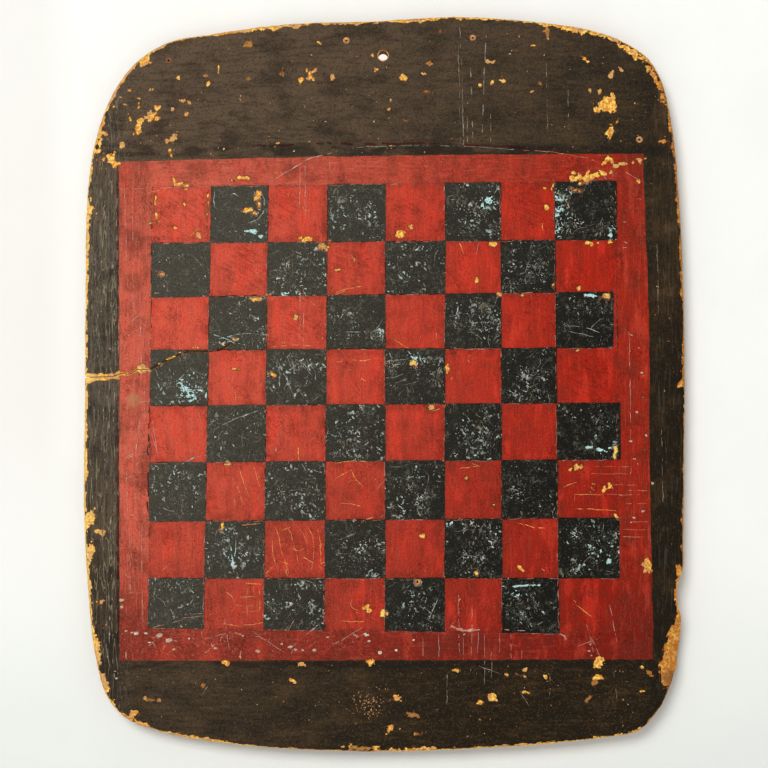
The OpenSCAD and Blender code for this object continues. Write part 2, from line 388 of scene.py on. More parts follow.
TOP_BAND_RIGHT = (
    (13, 14.5, 5, 3.2, -12), (27.5, 11.5, 3, 2.5), (29.5, 5, 2.6, 2), (28, 23, 4.8, 1.9, 5),
    (5, 29, 2.4, 2.4), (4, 35, 1.9, 1.7), (14.5, 42, 4.2, 2.1), (5, 58, 2.4, 1.9), (37, -15, 3.2, 1.3, 80),
    (68, 4, 2.4, 1.9), (71.5, 4, 2, 1.8), (76.5, 13, 3.5, 1.7, 75), (78.5, 16.5, 4.6, 1.9, -10),
    (71.5, 17, 2.6, 1.4, 80), (63.5, 19.5, 1.7, 1.4), (106.5, -15, 5.5, 3.8, -60), (97.5, -6.5, 3.4, 2),
    (86, -3.5, 2.4, 1.7), (133, 3, 6.5, 2.8, -32), (145.5, 32, 11.5, 9, 20), (139.5, 34.5, 6.5, 3, 25),
    (149, 27, 5, 3, 60), (147.5, 49, 9, 4.6, 68), (152, 43.5, 4.4, 1.6, 52), (145, 51, 4, 2.2),
    (148.5, 12.5, 4.2, 2.4, 70), (154.5, 9.5, 2.4, 1.9), (134.5, 22, 2.4, 2.1), (141, 23, 3, 1.7, 70),
    (102, 18, 3.4, 1.5, -55), (97.5, 23.5, 3.6, 2.1, 20), (182.5, 55.5, 6.5, 1.7),
)
BOTTOM_BAND = (
    (-102.5, 394.5, 6, 2.6, -5), (-53, 395.5, 5.5, 2.3), (-8, 394.5, 5, 3.2, -20), (-117.5, 409, 3, 2.2),
    (-58, 407, 5.4, 4.2, 20), (-151.5, 419, 4.4, 1.7, 10), (-155, 417.5, 2, 1.3), (-145.5, 419, 2.4, 1.7),
    (8.5, 417, 5.2, 3.8, -15), (4.5, 437, 6.5, 3.6, 35), (18, 428, 4, 3.2, 30), (23, 430, 4, 2.6, -20),
    (23, 441, 4, 1.7), (47, 399.5, 5.4, 2), (71, 417.5, 5.2, 4.2), (80.5, 403, 2.6, 2.2),
    (91.5, 403.5, 4.2, 2.4, -22), (87, 402, 4, 1, -15), (93, 414, 5, 1.6, 10), (63, 420.5, 3, 1.6),
    (92, 399, 2.4, 1.8), (141, 404.5, 8, 4.6, 15), (138, 408, 4, 2.4, 40), (133.5, 417.5, 4.6, 2.8, 20),
    (105.5, 404, 2.8, 1.9, 80), (172, 402, 4, 3.4), (168, 397.5, 2.4, 1.8), (169, 413, 3, 1.5),
    (-184, 355, 4, 2.4, 10),
)
# Where the edge of the panel is bare further in
RIM = (
    (124, -16.5, 14, 3.4, -12), (181.5, 27.5, 9, 5, -60), (161.5, -2.6, 26, 4.4, -36),
    (186.1, 43.2, 30, 3.4, -79), (188.5, 62, 10, 2, -82), (191, 92.5, 5, 2, 90), (193, 117, 4, 1.8, 90),
    (194.5, 154, 4, 2, 90), (193, 214, 6.5, 4, 80), (193, 334.5, 8, 4, 85), (-193.5, 221, 7, 3, 90),
    (-191.5, 301, 12, 5.4, 78), (-184.5, 309.5, 7, 2.8, -30), (-192, 338, 4, 2, 60),
    (-163, 428.5, 9, 5, 60), (-14, 450, 20, 3.6, -2), (21, 450.5, 36, 2), (133, 446, 24, 2.6, 8),
    (174, 433, 5, 2, 50), (-75, -18.5, 16, 2.4, 8), (18, -24.5, 20, 3), (52, -24.8, 9, 2.6),
    (88, -23, 20, 1.6, -4), (-184.5, 60, 12, 1.8, 75), (-155, 3.5, 9, 4.2, 46), (-100, 452, 20, 1.8, -6),
    (-176, 421, 8, 1.8, -58), (60, 452, 14, 1.8, 2), (139.7, -14.4, 26, 3, -20), (177.4, 17, 28, 3.2, -64),
    (189.5, 48, 12, 3, -80), (190, 76, 14, 2.4, -84), (-190, 100, 9, 2.6, 84), (-186.3, 384, 26, 3.4, -79),
    (-181, 405, 16, 3, -66), (-154, 437, 20, 3.4, -27), (-193.6, 186, 8, 2.4, 88),
    (-193.8, 248, 12, 2.2, 90), (-193, 272, 6, 2.6, 90), (-190, 322, 12, 2.4, 80),
)
# Amber chips in the red field and its squares
FIELD_CHIPS = (
    (-129, 86, 3, 2.4), (-136, 81, 4.4, 3, -20), (-91, 79.5, 6.5, 2.4, 5), (-98, 81, 3.4, 1.7),
    (-148, 95, 11, 1.0, 86), (-147, 105, 9, 1.2, 95), (-151, 109, 6, 0.8, 20), (-114, 98.5, 19, 0.9, 88),
    (-135, 111.5, 3, 1.7, -10), (-120, 117.5, 4.6, 2.2, -50), (-129, 97, 3, 2, 40), (-49, 119, 6.5, 3.4),
    (-53.5, 118.5, 3, 1.9), (-35, 120, 2.8, 2.4), (-38.5, 124, 6, 3, -5), (-92, 138, 3, 1.9),
    (-143.5, 142, 4.6, 2), (-29, 139, 4.2, 1.1, 10), (-34, 151, 2.4, 1.9), (-81.5, 157, 7.5, 2.8, -5),
    (-76, 155.5, 4, 2.6, 20), (-56.5, 170.5, 3, 1.9, 20), (-96.2, 184.7, 4, 2.4, 10),
    (11.5, 116, 5.4, 4.2, -20), (18, 112, 2.6, 2.2), (71, 122, 7, 2.6), (104.5, 86, 2.4, 1.9),
    (110, 86, 5, 1.5, 75), (106, 98.5, 4.4, 1.7, -10), (145.3, 68, 5.6, 2, 48), (149.3, 69.2, 8, 2.2, -54),
    (151.6, 71.4, 5, 3, 10), (153.3, 70.6, 3.6, 1.8, 58), (157.5, 69.9, 8.6, 2.1), (162.4, 68.8, 5, 2, 30),
    (165.8, 67.5, 4.4, 1.9, 6), (167.1, 69, 3.6, 1.8, 88), (127, 80, 11.5, 4.6, -8),
    (123.7, 76.8, 2.2, 2.8, 75), (135.5, 78, 12.5, 5, 14), (144.5, 76.8, 10.5, 2.8, 4), (125, 87.5, 8, 2),
    (135, 122, 6, 3.3, -10), (147.5, 121, 2.2, 1.6), (166.2, 82.3, 4.4, 1.4, 85),
    (61.5, 145.5, 3.4, 2.6, 60), (111, 149, 3, 1.9, 90), (127, 151, 2.2, 1.9), (76, 155.5, 3.6, 2.2),
    (90, 156, 2.4, 1.4), (145, 156.5, 6.4, 4.4, 10), (126.5, 191.5, 4.2, 1.5, 30), (-96, 204, 5.4, 1.5, 5),
    (-71.5, 207.5, 3.4, 2.6), (-101, 265.5, 7, 2.2, 5), (-104.5, 306, 5.4, 2.1, 85),
    (19.3, 199.8, 5.6, 3.4, -38), (31, 229, 6.5, 2.6, -10), (42, 204, 5, 1.8, 85),
    (54, 275, 3.4, 1.8, -10), (151.6, 256, 3.6, 2.6, -35), (150.4, 260, 3.4, 2.4, 50),
    (126.5, 266.5, 6.4, 3.3, -20), (121.5, 269, 2.5, 1.5), (131.5, 272, 3.2, 1.3, -40),
    (144.7, 281.4, 4.6, 3.2, 45), (146.4, 279.8, 4.6, 3.2, 45), (72, 292.5, 2.2, 1.7),
    (25.5, 312.5, 3.2, 3), (89, 333, 6.4, 1.6, -45), (61, 336.5, 2.4, 1.9), (172.5, 331, 11, 5.6, -75),
    (-104.5, 348, 3, 1.9), (152, 299.5, 3.8, 1.8, -50), (-10, 359.5, 5, 3.2), (0.5, 363, 6.2, 4.2, 20),
    (140, 391.5, 4.4, 3.8), (139, 395, 7.5, 3.6), (-81.7, 91.3, 5, 2.8, 75), (-80.6, 97, 4.6, 1.5, -75),
    (-87.4, 100.6, 7, 2.4, 4), (-83.6, 102.4, 3.4, 1.8, -20), (136.5, 74.6, 3.4, 1.2, 20),
    (140.5, 74.8, 3, 1, -20), (130, 82.6, 4, 1.4, -10), (133.5, 75.4, 3, 1, 40), (142.5, 71, 1.6, 0.9),
    (170.5, 67, 2, 1), (128, 83.2, 2, 1.6, 60), (-133, 83.5, 8, 0.9, 14),
)
# Wide worn places in the black, down to the pale coat
BLUE_SHOWS = (
    (-85, 114.3, 6.4, 1.7, 4), (-76, 115.2, 1.8, 2.2), (-79.5, 117.4, 3, 1.5), (-64, 154.6, 4, 2, 10),
    (-131.5, 213, 2, 1, -30), (-128.5, 215.3, 3.6, 1.6, -15), (-120.2, 217.4, 4.6, 2, -25),
    (-115.2, 221, 1.4, 3), (-133.7, 221, 2.8, 1, 30), (-126.3, 224.8, 3.2, 1.2, 15),
    (-136.5, 224.6, 2, 1.3), (-122, 222.6, 2, 1.3, 20), (-44, 126.5, 5, 1.6, 40), (-38.6, 133, 1.2, 3.4),
    (-71, 154, 2.4, 1.2), (20.6, 196.4, 4, 1.8), (-22, 168, 3.2, 1.4, 10), (129, 230.4, 2.6, 1.2),
    (136, 234.8, 1.8, 1.2, 30), (150.4, 250.8, 2.6, 2.6), (68, 94, 3.2, 3), (75, 86, 2.2, 1.6, 30),
    (69, 114, 2.6, 3, 40), (136, 156, 6, 1.6), (147.5, 116.5, 2.4, 2.2), (133.6, 254.6, 4.6, 1.4, 3),
    (141, 256, 5.5, 1.7, -14), (147, 255, 2.6, 1.1), (124, 327.5, 3.4, 3), (147, 329, 3, 2.4),
    (90, 344.5, 21, 1.1, 2), (-99, 186, 10, 1.2, 2), (-108, 182, 7, 1.2, -20), (-104, 188, 6, 1.1, -35),
    (50, 300, 2.2, 1.8), (44, 304, 2, 1.6), (31, 196.5, 6, 1.4, -10),
)
# How worn the black of each dark square is: its file, its rank, how much, and where from its top left
DARK_WEAR = (
    (2, 1, 0.2, 0.8, 0.85, 0.2), (4, 1, 0.7, 0.5, 0.5, 0.4), (6, 1, 0.85, 0.6, 0.4, 0.5),
    (8, 1, 1.35, 0.05, 0.5, 0.16), (8, 1, 1.2, 0.07, 0.25, 0.12), (8, 1, 1.2, 0.08, 0.8, 0.13),
    (1, 2, 0.3, 0.25, 0.3, 0.35), (3, 2, 1.05, 0.5, 0.68, 0.34), (5, 2, 0.75, 0.45, 0.6, 0.45),
    (7, 2, 0.85, 0.3, 0.65, 0.4), (2, 3, 0.5, 0.5, 0.3, 0.5), (4, 3, 0.5, 0.3, 0.5, 0.3),
    (4, 3, 0.6, 0.9, 0.7, 0.2), (6, 3, 1.0, 0.72, 0.4, 0.35), (8, 3, 0.3, 0.5, 0.45, 0.35),
    (1, 4, 1.0, 0.6, 0.68, 0.28), (3, 4, 1.0, 0.5, 0.5, 0.42), (5, 4, 0.7, 0.1, 0.25, 0.2),
    (5, 4, 0.85, 0.95, 0.55, 0.18), (5, 4, 0.6, 0.6, 0.2, 0.2), (7, 4, 0.75, 0.45, 0.7, 0.4),
    (2, 5, 0.6, 0.4, 0.6, 0.5), (4, 5, 0.95, 0.5, 0.5, 0.4), (6, 5, 1.05, 0.65, 0.6, 0.34),
    (8, 5, 0.3, 0.5, 0.3, 0.4), (1, 6, 0.7, 0.5, 0.45, 0.4), (3, 6, 0.85, 0.5, 0.6, 0.45),
    (5, 6, 0.8, 0.5, 0.65, 0.45), (7, 6, 0.5, 0.3, 0.5, 0.4), (2, 7, 0.75, 0.5, 0.55, 0.45),
    (4, 7, 0.8, 0.65, 0.7, 0.4), (6, 7, 0.95, 0.6, 0.4, 0.34), (8, 7, 0.95, 0.7, 0.5, 0.35),
    (1, 8, 0.75, 0.4, 0.35, 0.45), (3, 8, 0.6, 0.6, 0.5, 0.5), (5, 8, 0.5, 0.45, 0.6, 0.5),
    (7, 8, 0.65, 0.5, 0.3, 0.4),
)
# How scratched the red squares are, in the same way
RED_WEAR = (
    (1, 1, 0.7, 0.4, 0.4, 0.4), (3, 1, 0.3, 0.5, 0.7, 0.4), (4, 2, 0.7, 0.4, 0.4, 0.4),
    (2, 2, 0.3, 0.5, 0.5, 0.4), (6, 2, 0.3, 0.5, 0.5, 0.4), (3, 3, 0.5, 0.5, 0.5, 0.4),
    (5, 3, 0.3, 0.5, 0.5, 0.4), (2, 4, 0.5, 0.5, 0.7, 0.3), (4, 4, 0.5, 0.5, 0.5, 0.4),
    (6, 4, 0.5, 0.5, 0.4, 0.4), (3, 5, 0.5, 0.3, 0.2, 0.4), (5, 5, 0.4, 0.4, 0.4, 0.4),
    (2, 6, 0.9, 0.6, 0.5, 0.4), (4, 6, 0.8, 0.5, 0.3, 0.4), (6, 6, 0.5, 0.5, 0.4, 0.4),
    (8, 6, 1.1, 0.5, 0.5, 0.4), (3, 7, 1.4, 0.5, 0.5, 0.4), (1, 7, 0.4, 0.5, 0.5, 0.4),
    (5, 7, 0.4, 0.5, 0.5, 0.4), (2, 8, 1.5, 0.5, 0.5, 0.4), (4, 8, 0.7, 0.5, 0.5, 0.4),
    (6, 8, 0.9, 0.5, 0.6, 0.4), (8, 8, 0.6, 0.5, 0.6, 0.4), (7, 7, 0.5, 0.6, 0.6, 0.4),
)


@dataclass(frozen=True)
class Ruling:
    """The hand-ruled field and squares.

    Attributes:
        count: Squares along each side.
        square_w: Width of one square.
        square_h: Height of one square.
        left: Where the squares start, from the hanging hole.
        top: Where they start, above the hanging hole.
        margin_side: The red field's margin at each side of the squares.
        margin_top: Its margin above them.
        margin_bottom: Its margin below them.
        column_at_top: How far each column line strays at its upper end.
        column_at_bottom: How far it strays at its lower end.
        row_at_left: How far each row line strays at its left end.
        row_at_right: How far it strays at its right end.
        field_stray: How far the field's corners stray, clockwise from the upper left one.
        last_file: How far the right edge of the last file's square strays in each rank.
    """

    count: int = 8
    square_w: float = 38.0
    square_h: float = 36.3
    left: float = -151.5
    top: float = -83.5
    margin_side: float = 19.8
    margin_top: float = 17.0
    margin_bottom: float = 19.0
    column_at_top: tuple[float, ...] = (1.5, 2, 1, 1.5, 1, 2, 0, -3, -1)
    column_at_bottom: tuple[float, ...] = (-1, -3, -2, -0.5, 1, 1.5, 1, 0, 1)
    row_at_left: tuple[float, ...] = (-2, -2, -1, 1, 1, 0.5, -1.5, -2, 2)
    row_at_right: tuple[float, ...] = (2, 0, 2.5, 2.5, 3, 2.5, 1, -2, -2)
    field_stray: tuple[Place, ...] = ((0, -2.5), (-3.5, 2.5), (3.5, 0.5), (0, -0.5))
    last_file: tuple[float, ...] = (0.3, 0, -2.4, 0, 1.6, 0, 0.4, 0)

    def crossing(self, column: int, row: int) -> Place:
        """Returns where a column line meets a row line, both counted from the top left."""
        across = self.column_at_top[column] * (1 - row / self.count)
        across += self.column_at_bottom[column] * row / self.count
        up = self.row_at_left[row] * (1 - column / self.count) + self.row_at_right[row] * column / self.count
        return self.left + column * self.square_w + across, self.top - row * self.square_h + up

    def corners(self, file: int, rank: int) -> list[Place]:
        """Returns a square's corners, clockwise from its upper left one."""
        found = [self.crossing(file - 1, rank - 1), self.crossing(file, rank - 1)]
        found += [self.crossing(file, rank), self.crossing(file - 1, rank)]
        if file == self.count:
            for k in (1, 2):
                found[k] = (found[k][0] + self.last_file[rank - 1], found[k][1])
        return found

    def field_corners(self) -> list[Place]:
        """Returns the red field's corners, clockwise from its upper left one."""
        left = self.left - self.margin_side
        right = self.left + self.count * self.square_w + self.margin_side
        top = self.top + self.margin_top
        bottom = self.top - self.count * self.square_h - self.margin_bottom
        straight = [(left, top), (right, top), (right, bottom), (left, bottom)]
        return [(a + da, b + db) for (a, b), (da, db) in zip(straight, self.field_stray)]

    def dark(self, file: int, rank: int) -> bool:
        """Tells whether a square is painted black."""
        return (file + rank) % 2 == 1


def within(corners: Sequence[Place], x: Array, z: Array) -> Array:
    """Returns how far each place lies inside a four-sided shape given clockwise."""
    found = np.full(np.shape(x), np.inf)
    for k, (ax, az) in enumerate(corners):
        bx, bz = corners[(k + 1) % len(corners)]
        length = math.hypot(bx - ax, bz - az)
        away = ((bz - az) * (x - ax) - (bx - ax) * (z - az)) / length
        found = np.minimum(found, away)
    return found


@dataclass
class Split:
    """The split that runs in from the left edge.

    Attributes:
        start: Its place at the left edge.
        run: How far it runs in.
        rise: How far it climbs.
        shares: Its line, as shares of its run and its rise.
        lips_at: Places along it at which the paint's distance from its middle is given.
        lips_reach: That distance at each of them.
    """

    start: Place = (-195.0, -209.3)
    run: float = 98.0
    rise: float = 23.5
    shares: tuple[Place, ...] = (
        (0, 0), (0.2, 0.03), (0.25, 0.11), (0.31, 0.09), (0.36, 0.22), (0.45, 0.23), (0.5, 0.36),
        (0.57, 0.51), (0.69, 0.71), (0.79, 0.71), (0.91, 0.77), (0.95, 0.86), (1, 1),
    )
    lips_at: tuple[float, ...] = (-195, -191, -188, -182, -176, -168, -158, -97)
    lips_reach: tuple[float, ...] = (4.4, 2.6, 1.6, 1, 0.9, 0.4, 0.4, 0.32)

    def line(self, spacing: float = 0.4) -> Array:
        """Returns evenly spaced points along the split."""
        corners = np.array(self.start) + np.array(self.shares) * (self.run, self.rise)
        return resample(corners, spacing)

    def lips(self, x: Array) -> Array:
        """Returns how far the paint is gone from the split's middle, by place along it."""
        return np.interp(x, self.lips_at, self.lips_reach)


def resample(points: Array, spacing: float, closed: bool = False) -> Array:
    """Returns points at an even spacing along a line."""
    line = np.vstack([points, points[:1]]) if closed else points
    length = np.concatenate([[0], np.cumsum(np.hypot(*np.diff(line, axis=0).T))])
    count = max(2, round(length[-1] / spacing) + 1)
    at = np.linspace(0, length[-1], count)
    found = np.stack([np.interp(at, length, line[:, 0]), np.interp(at, length, line[:, 1])], 1)
    return found[:-1] if closed else found


@dataclass
class Timber:
    """The wooden panel, with its plan and its worn surface taken from the frame's panel.

    Attributes:
        node: The frame's panel.
        section: Depth in front of the back face at which the plan is read.
        spacing: Spacing of the points along the outline.
        split: The split.
        nail_floor: Depth of the old nail holes.
        gap_at: Places along the split at which its gap is given.
        gap: Half of the gap at each of them.
        broken_left: Where the broken stretch of the front edge starts.
        broken_rise: Its lower and its upper end.
        mesh_step: Spacing of the mesh's points where it is fine.
        mesh_stray: How far each of them is moved off its even place.
        fine_reach: How far in from the edge the mesh is fine, and less fine.
        outline: The ragged outline, with the split's two lips.
        holes: Centre and radius of the hanging hole and of each old nail hole.
    """

    node: str = "panel"
    section: float = 8.0
    spacing: float = 1.3
    nail_floor: float = 6.0
    gap_at: tuple[float, ...] = (-195, -170, -97)
    gap: tuple[float, ...] = (0.3, 0.26, 0.16)
    broken_left: float = 172
    broken_rise: Place = (-418, -358)
    mesh_step: float = 0.95
    mesh_stray: float = 0.22
    fine_reach: Place = (4.5, 9)
    split: Split = field(default_factory=Split)
    outline: Array = field(init=False)
    holes: list[Triple] = field(init=False)

    def __post_init__(self) -> None:
        """Reads the frame's panel."""
        self.thick = -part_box(self.node)[0].y / MM
        shape = bmesh.new()
        shape.from_mesh(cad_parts[self.node].data)
        bmesh.ops.remove_doubles(shape, verts=shape.verts, dist=1e-6)
        self.solid = BVHTree.FromBMesh(shape)
        cut = bmesh.ops.bisect_plane(
            shape, geom=shape.verts[:] + shape.edges[:] + shape.faces[:], dist=1e-7,
            plane_co=(0, -self.section * MM, 0), plane_no=(0, 1, 0),
        )["geom_cut"]
        loops = self._loops([e for e in cut if isinstance(e, bmesh.types.BMEdge)])
        shape.free()
        loops.sort(key=lambda loop: np.ptp(loop[:, 0]))
        smooth = resample(loops.pop(), self.spacing, closed=True)
        way = np.roll(smooth, -1, axis=0) - np.roll(smooth, 1, axis=0)
        way /= np.hypot(*way.T)[:, None]
        inward = np.stack([-way[:, 1], way[:, 0]], 1)
        area = np.sum(smooth[:, 0] * np.roll(smooth[:, 1], -1) - smooth[:, 1] * np.roll(smooth[:, 0], -1))
        inward *= np.sign(area)
        x, z = smooth.T
        worn = 0.3 + 0.3 * Noise(9, 41).at(x, z) + 0.2 * Noise(2.4, 42).at(x, z)
        self.outline = self._closed(smooth + inward * np.clip(worn, 0, 0.8)[:, None])
        self.holes = []
        for loop in loops:
            middle = (loop.max(0) + loop.min(0)) / 2
            self.holes.append((*middle, float(np.ptp(loop[:, 0]) / 2)))
        self.holes.sort(key=lambda hole: -hole[2])

    def _closed(self, outline: Array) -> Array:
        """Returns the outline with the split's lips brought close together."""
        line = self.split.line(0.8)
        line = line[line[:, 0] > self.split.start[0] + 0.9]
        lips = nearest(outline, line) < 2
        first = int(np.nonzero(lips & ~np.roll(lips, 1))[0][0])
        outline, lips = np.roll(outline, -first, axis=0), np.roll(lips, -first)
        way = np.gradient(line, axis=0)
        across = np.stack([-way[:, 1], way[:, 0]], 1) / np.hypot(*way.T)[:, None]
        half = np.interp(line[:, 0], self.gap_at, self.gap)[:, None]
        upper, lower = line + across * half, line - across * half
        inwards, outwards = (upper, lower) if outline[0, 1] > line[0, 1] else (lower, upper)
        return np.concatenate([inwards, outwards[::-1], outline[~lips]])

    @staticmethod
    def _loops(edges: Sequence[bmesh.types.BMEdge]) -> list[Array]:
        """Returns the closed lines that some edges make, as places on the plan."""
        beside: dict[bmesh.types.BMVert, list[bmesh.types.BMVert]] = {}
        for e in edges:
            a, b = e.verts
            beside.setdefault(a, []).append(b)
            beside.setdefault(b, []).append(a)
        found = []
        left = dict.fromkeys(beside)
        while left:
            line = [left.popitem()[0]]
            while ahead := [v for v in beside[line[-1]] if v in left]:
                line.append(ahead[0])
                del left[ahead[0]]
            if len(line) > 2:
                found.append(np.array([(v.co.x, v.co.z) for v in line]) / MM)
        return found

    def depth(self, points: Array, from_front: bool) -> Array:
        """Returns the panel's depth at places on the plan, read from one side.

        Args:
            points: The places.
            from_front: Reads the front face, and otherwise the back face.

        Returns:
            How far the face lies in front of the panel's back plane.
        """
        start = -1.0 if from_front else 1.0
        middle = self.outline.mean(0)
        flat = self.thick if from_front else 0.0
        found = np.full(len(points), flat)
        tries = ((0, 0), (0.25, 0), (0.6, 0), (0.3, 1.4), (0.3, -1.4))
        for k, p in enumerate(points):
            inward = (middle - p) / np.hypot(*(middle - p))
            for share, up in tries:
                q = p + inward * share + (0, up)
                hit = self.solid.ray_cast(Vector((q[0] * MM, start, q[1] * MM)), Vector((0, -start, 0)))[0]
                if hit is not None and abs(-hit.y / MM - flat) < 6:
                    found[k] = -hit.y / MM
                    break
        return found

    def front(self, points: Array) -> Array:
        """Returns the worn front face's depth, with the small dents of its edges."""
        smooth = self.depth(points, True)
        x, z = points.T
        edge = np.clip((self.thick - smooth) / 1.5, 0, 1)
        dents = 0.28 * np.clip(Noise(3.2, 51, 3).at(x, z) + 0.25, 0, 1.2)
        return smooth - edge * dents

    def dress(self) -> Piece:
        """Makes the panel's mesh and returns it."""
        low, high = self.outline.min(0), self.outline.max(0)
        lattice = Lattice(tuple(low), tuple(high), self.mesh_step)
        rim = lattice.near(resample(self.outline, 0.5, closed=True), 12)
        inside = lattice.inside(self.outline) & (rim > 0.55)
        for cx, cz, r in self.holes:
            inside &= np.hypot(lattice.x - cx, lattice.z - cz) > r + 0.5
        rows, columns = np.indices(rim.shape)
        low_z, high_z = self.broken_rise
        broken = (lattice.x > self.broken_left) & (lattice.z < high_z) & (lattice.z > low_z)
        finest, fine = self.fine_reach
        every = np.where((rim < finest) | broken, 1, np.where(rim < fine, 3, 10))
        chosen = inside & (rows % every == 0) & (columns % every == 0)
        free = lattice.places(chosen)
        free += np.random.default_rng(7).uniform(-self.mesh_stray, self.mesh_stray, free.shape)
        points, joins, start = [free], [], len(free)
        for loop in [self.outline] + [self._ring(*hole) for hole in self.holes]:
            number = np.arange(len(loop))
            joins.append(np.stack([number, np.roll(number, -1)], 1) + start)
            points.append(loop)
            start += len(loop)
        places, faces = triangulate(np.concatenate(points), np.concatenate(joins))
        middles = places[faces].mean(1)
        keep = self.contains(middles, self.outline)
        in_hole = [np.hypot(*(middles - hole[:2]).T) < hole[2] * 0.99 for hole in self.holes]
        keep &= ~in_hole[0]
        return self._solid(places, faces[keep], np.any(in_hole[1:], 0)[keep])

    def _ring(self, cx: float, cz: float, r: float) -> Array:
        """Returns the points of a round hole."""
        count = max(16, int(r * 12))
        a = np.arange(count) / count * math.tau
        return np.stack([cx + r * np.cos(a), cz + r * np.sin(a)], 1)

    @staticmethod
    def contains(points: Array, loop: Array) -> Array:
        """Returns which points lie inside a loop."""
        found = np.zeros(len(points), bool)
        for a, b in zip(loop, np.roll(loop, -1, axis=0)):
            hit = (a[1] > points[:, 1]) != (b[1] > points[:, 1])
            at = a[0] + (points[hit, 1] - a[1]) * (b[0] - a[0]) / (b[1] - a[1])
            found[np.nonzero(hit)[0][points[hit, 0] < at]] ^= True
        return found

    def _solid(self, places: Array, faces: Array, in_nail: Array) -> Piece:
        """Closes the panel from its plan: front, back, sides, and the nail holes' walls and floors."""
        count = len(places)
        front, back = self.front(places), np.maximum(self.depth(places, False), 0)
        lip = nearest(places, self.split.line(1.5))
        round_lip = np.clip(1 - lip / 1.8, 0, 1) ** 2 * np.interp(places[:, 0], [-170, -150], [1, 0.15])
        front = np.where(front > self.thick - 0.05, front - 1.1 * round_lip, front)
        x, z = places.T
        deep = np.full(count, self.nail_floor - self.thick)
        levels = [np.stack([x, y, z], 1) for y in (-front, -back, deep)]
        parts = [faces[~in_nail], faces[:, ::-1] + count, faces[in_nail] + 2 * count]
        sides = rim_edges(faces)
        for share in (0.3, 0.65):
            worn = 0.12 * Noise(7, 61, 2, (1, 1)).at(x + 40 * share, z)
            middle = places.mean(0)
            inward = (middle - places) / np.hypot(*(middle - places).T)[:, None]
            at = places + inward * np.clip(worn, 0, 1)[:, None]
            levels.append(np.stack([at[:, 0], -(front * (1 - share) + back * share), at[:, 1]], 1))
        order = [0, 3 * count, 4 * count, count]
        parts += [walls(sides, upper, lower) for upper, lower in zip(order, order[1:])]
        outer = {tuple(sorted(e)) for e in sides.tolist()}
        mouth = [e for e in rim_edges(faces[~in_nail]).tolist() if tuple(sorted(e)) not in outer]
        parts.append(walls(np.array(mouth), 0, 2 * count))
        return build("aged_panel", np.concatenate(levels), parts, smooth=38)


@dataclass(frozen=True)
class Film:
    """One coat of paint, as a thin sheet with holes where it has come away.

    Attributes:
        name: The piece's name.
        low: How far its underside is above the panel's face.
        high: How far its top is above it.
        slot: The record's material slot.
        nodes: The frame's nodes that it stands for.
    """

    name: str
    low: float
    high: float
    slot: Slot
    nodes: tuple[str, ...]

    def dress(self, lattice: Lattice, cover: Array, face: Callable[[Array], Array] | float,
              worn: Array | None = None) -> Piece:
        """Makes the coat's mesh.

        Args:
            lattice: The grid that its cover is given on.
            cover: Above nought where there is paint.
            face: The panel's face under it, as a function of places or as one depth.
            worn: Which nodes get a point of their own, so that the coat follows a curved face.

        Returns:
            The coat as an object.
        """
        points, joins = lattice.contour(cover)
        if worn is not None:
            chosen = worn & (cover > lattice.step)
            rows, columns = np.indices(cover.shape)
            chosen &= (rows + columns) % 2 == 0
            points = np.concatenate([points, lattice.places(chosen)])
        places, faces = triangulate(points, joins)
        faces = faces[lattice.sample(cover, places[faces].mean(1)) > 0]
        count = len(places)
        depth = face(places) if callable(face) else np.full(count, face)
        x, z = places.T
        levels = [np.stack([x, -depth - up, z], 1) for up in (self.high, self.low)]
        parts = [faces, faces[:, ::-1] + count, walls(rim_edges(faces), 0, count)]
        return build(self.name, np.concatenate(levels), parts, 40 if callable(face) else None)


def uneven(x: Array, z: Array, seed: int, amount: float = 1.0) -> Array:
    """Returns how far a hand-painted edge wanders."""
    return amount * (0.3 * Noise(11, seed).at(x, z) + 0.2 * Noise(2.6, seed + 1).at(x, z))


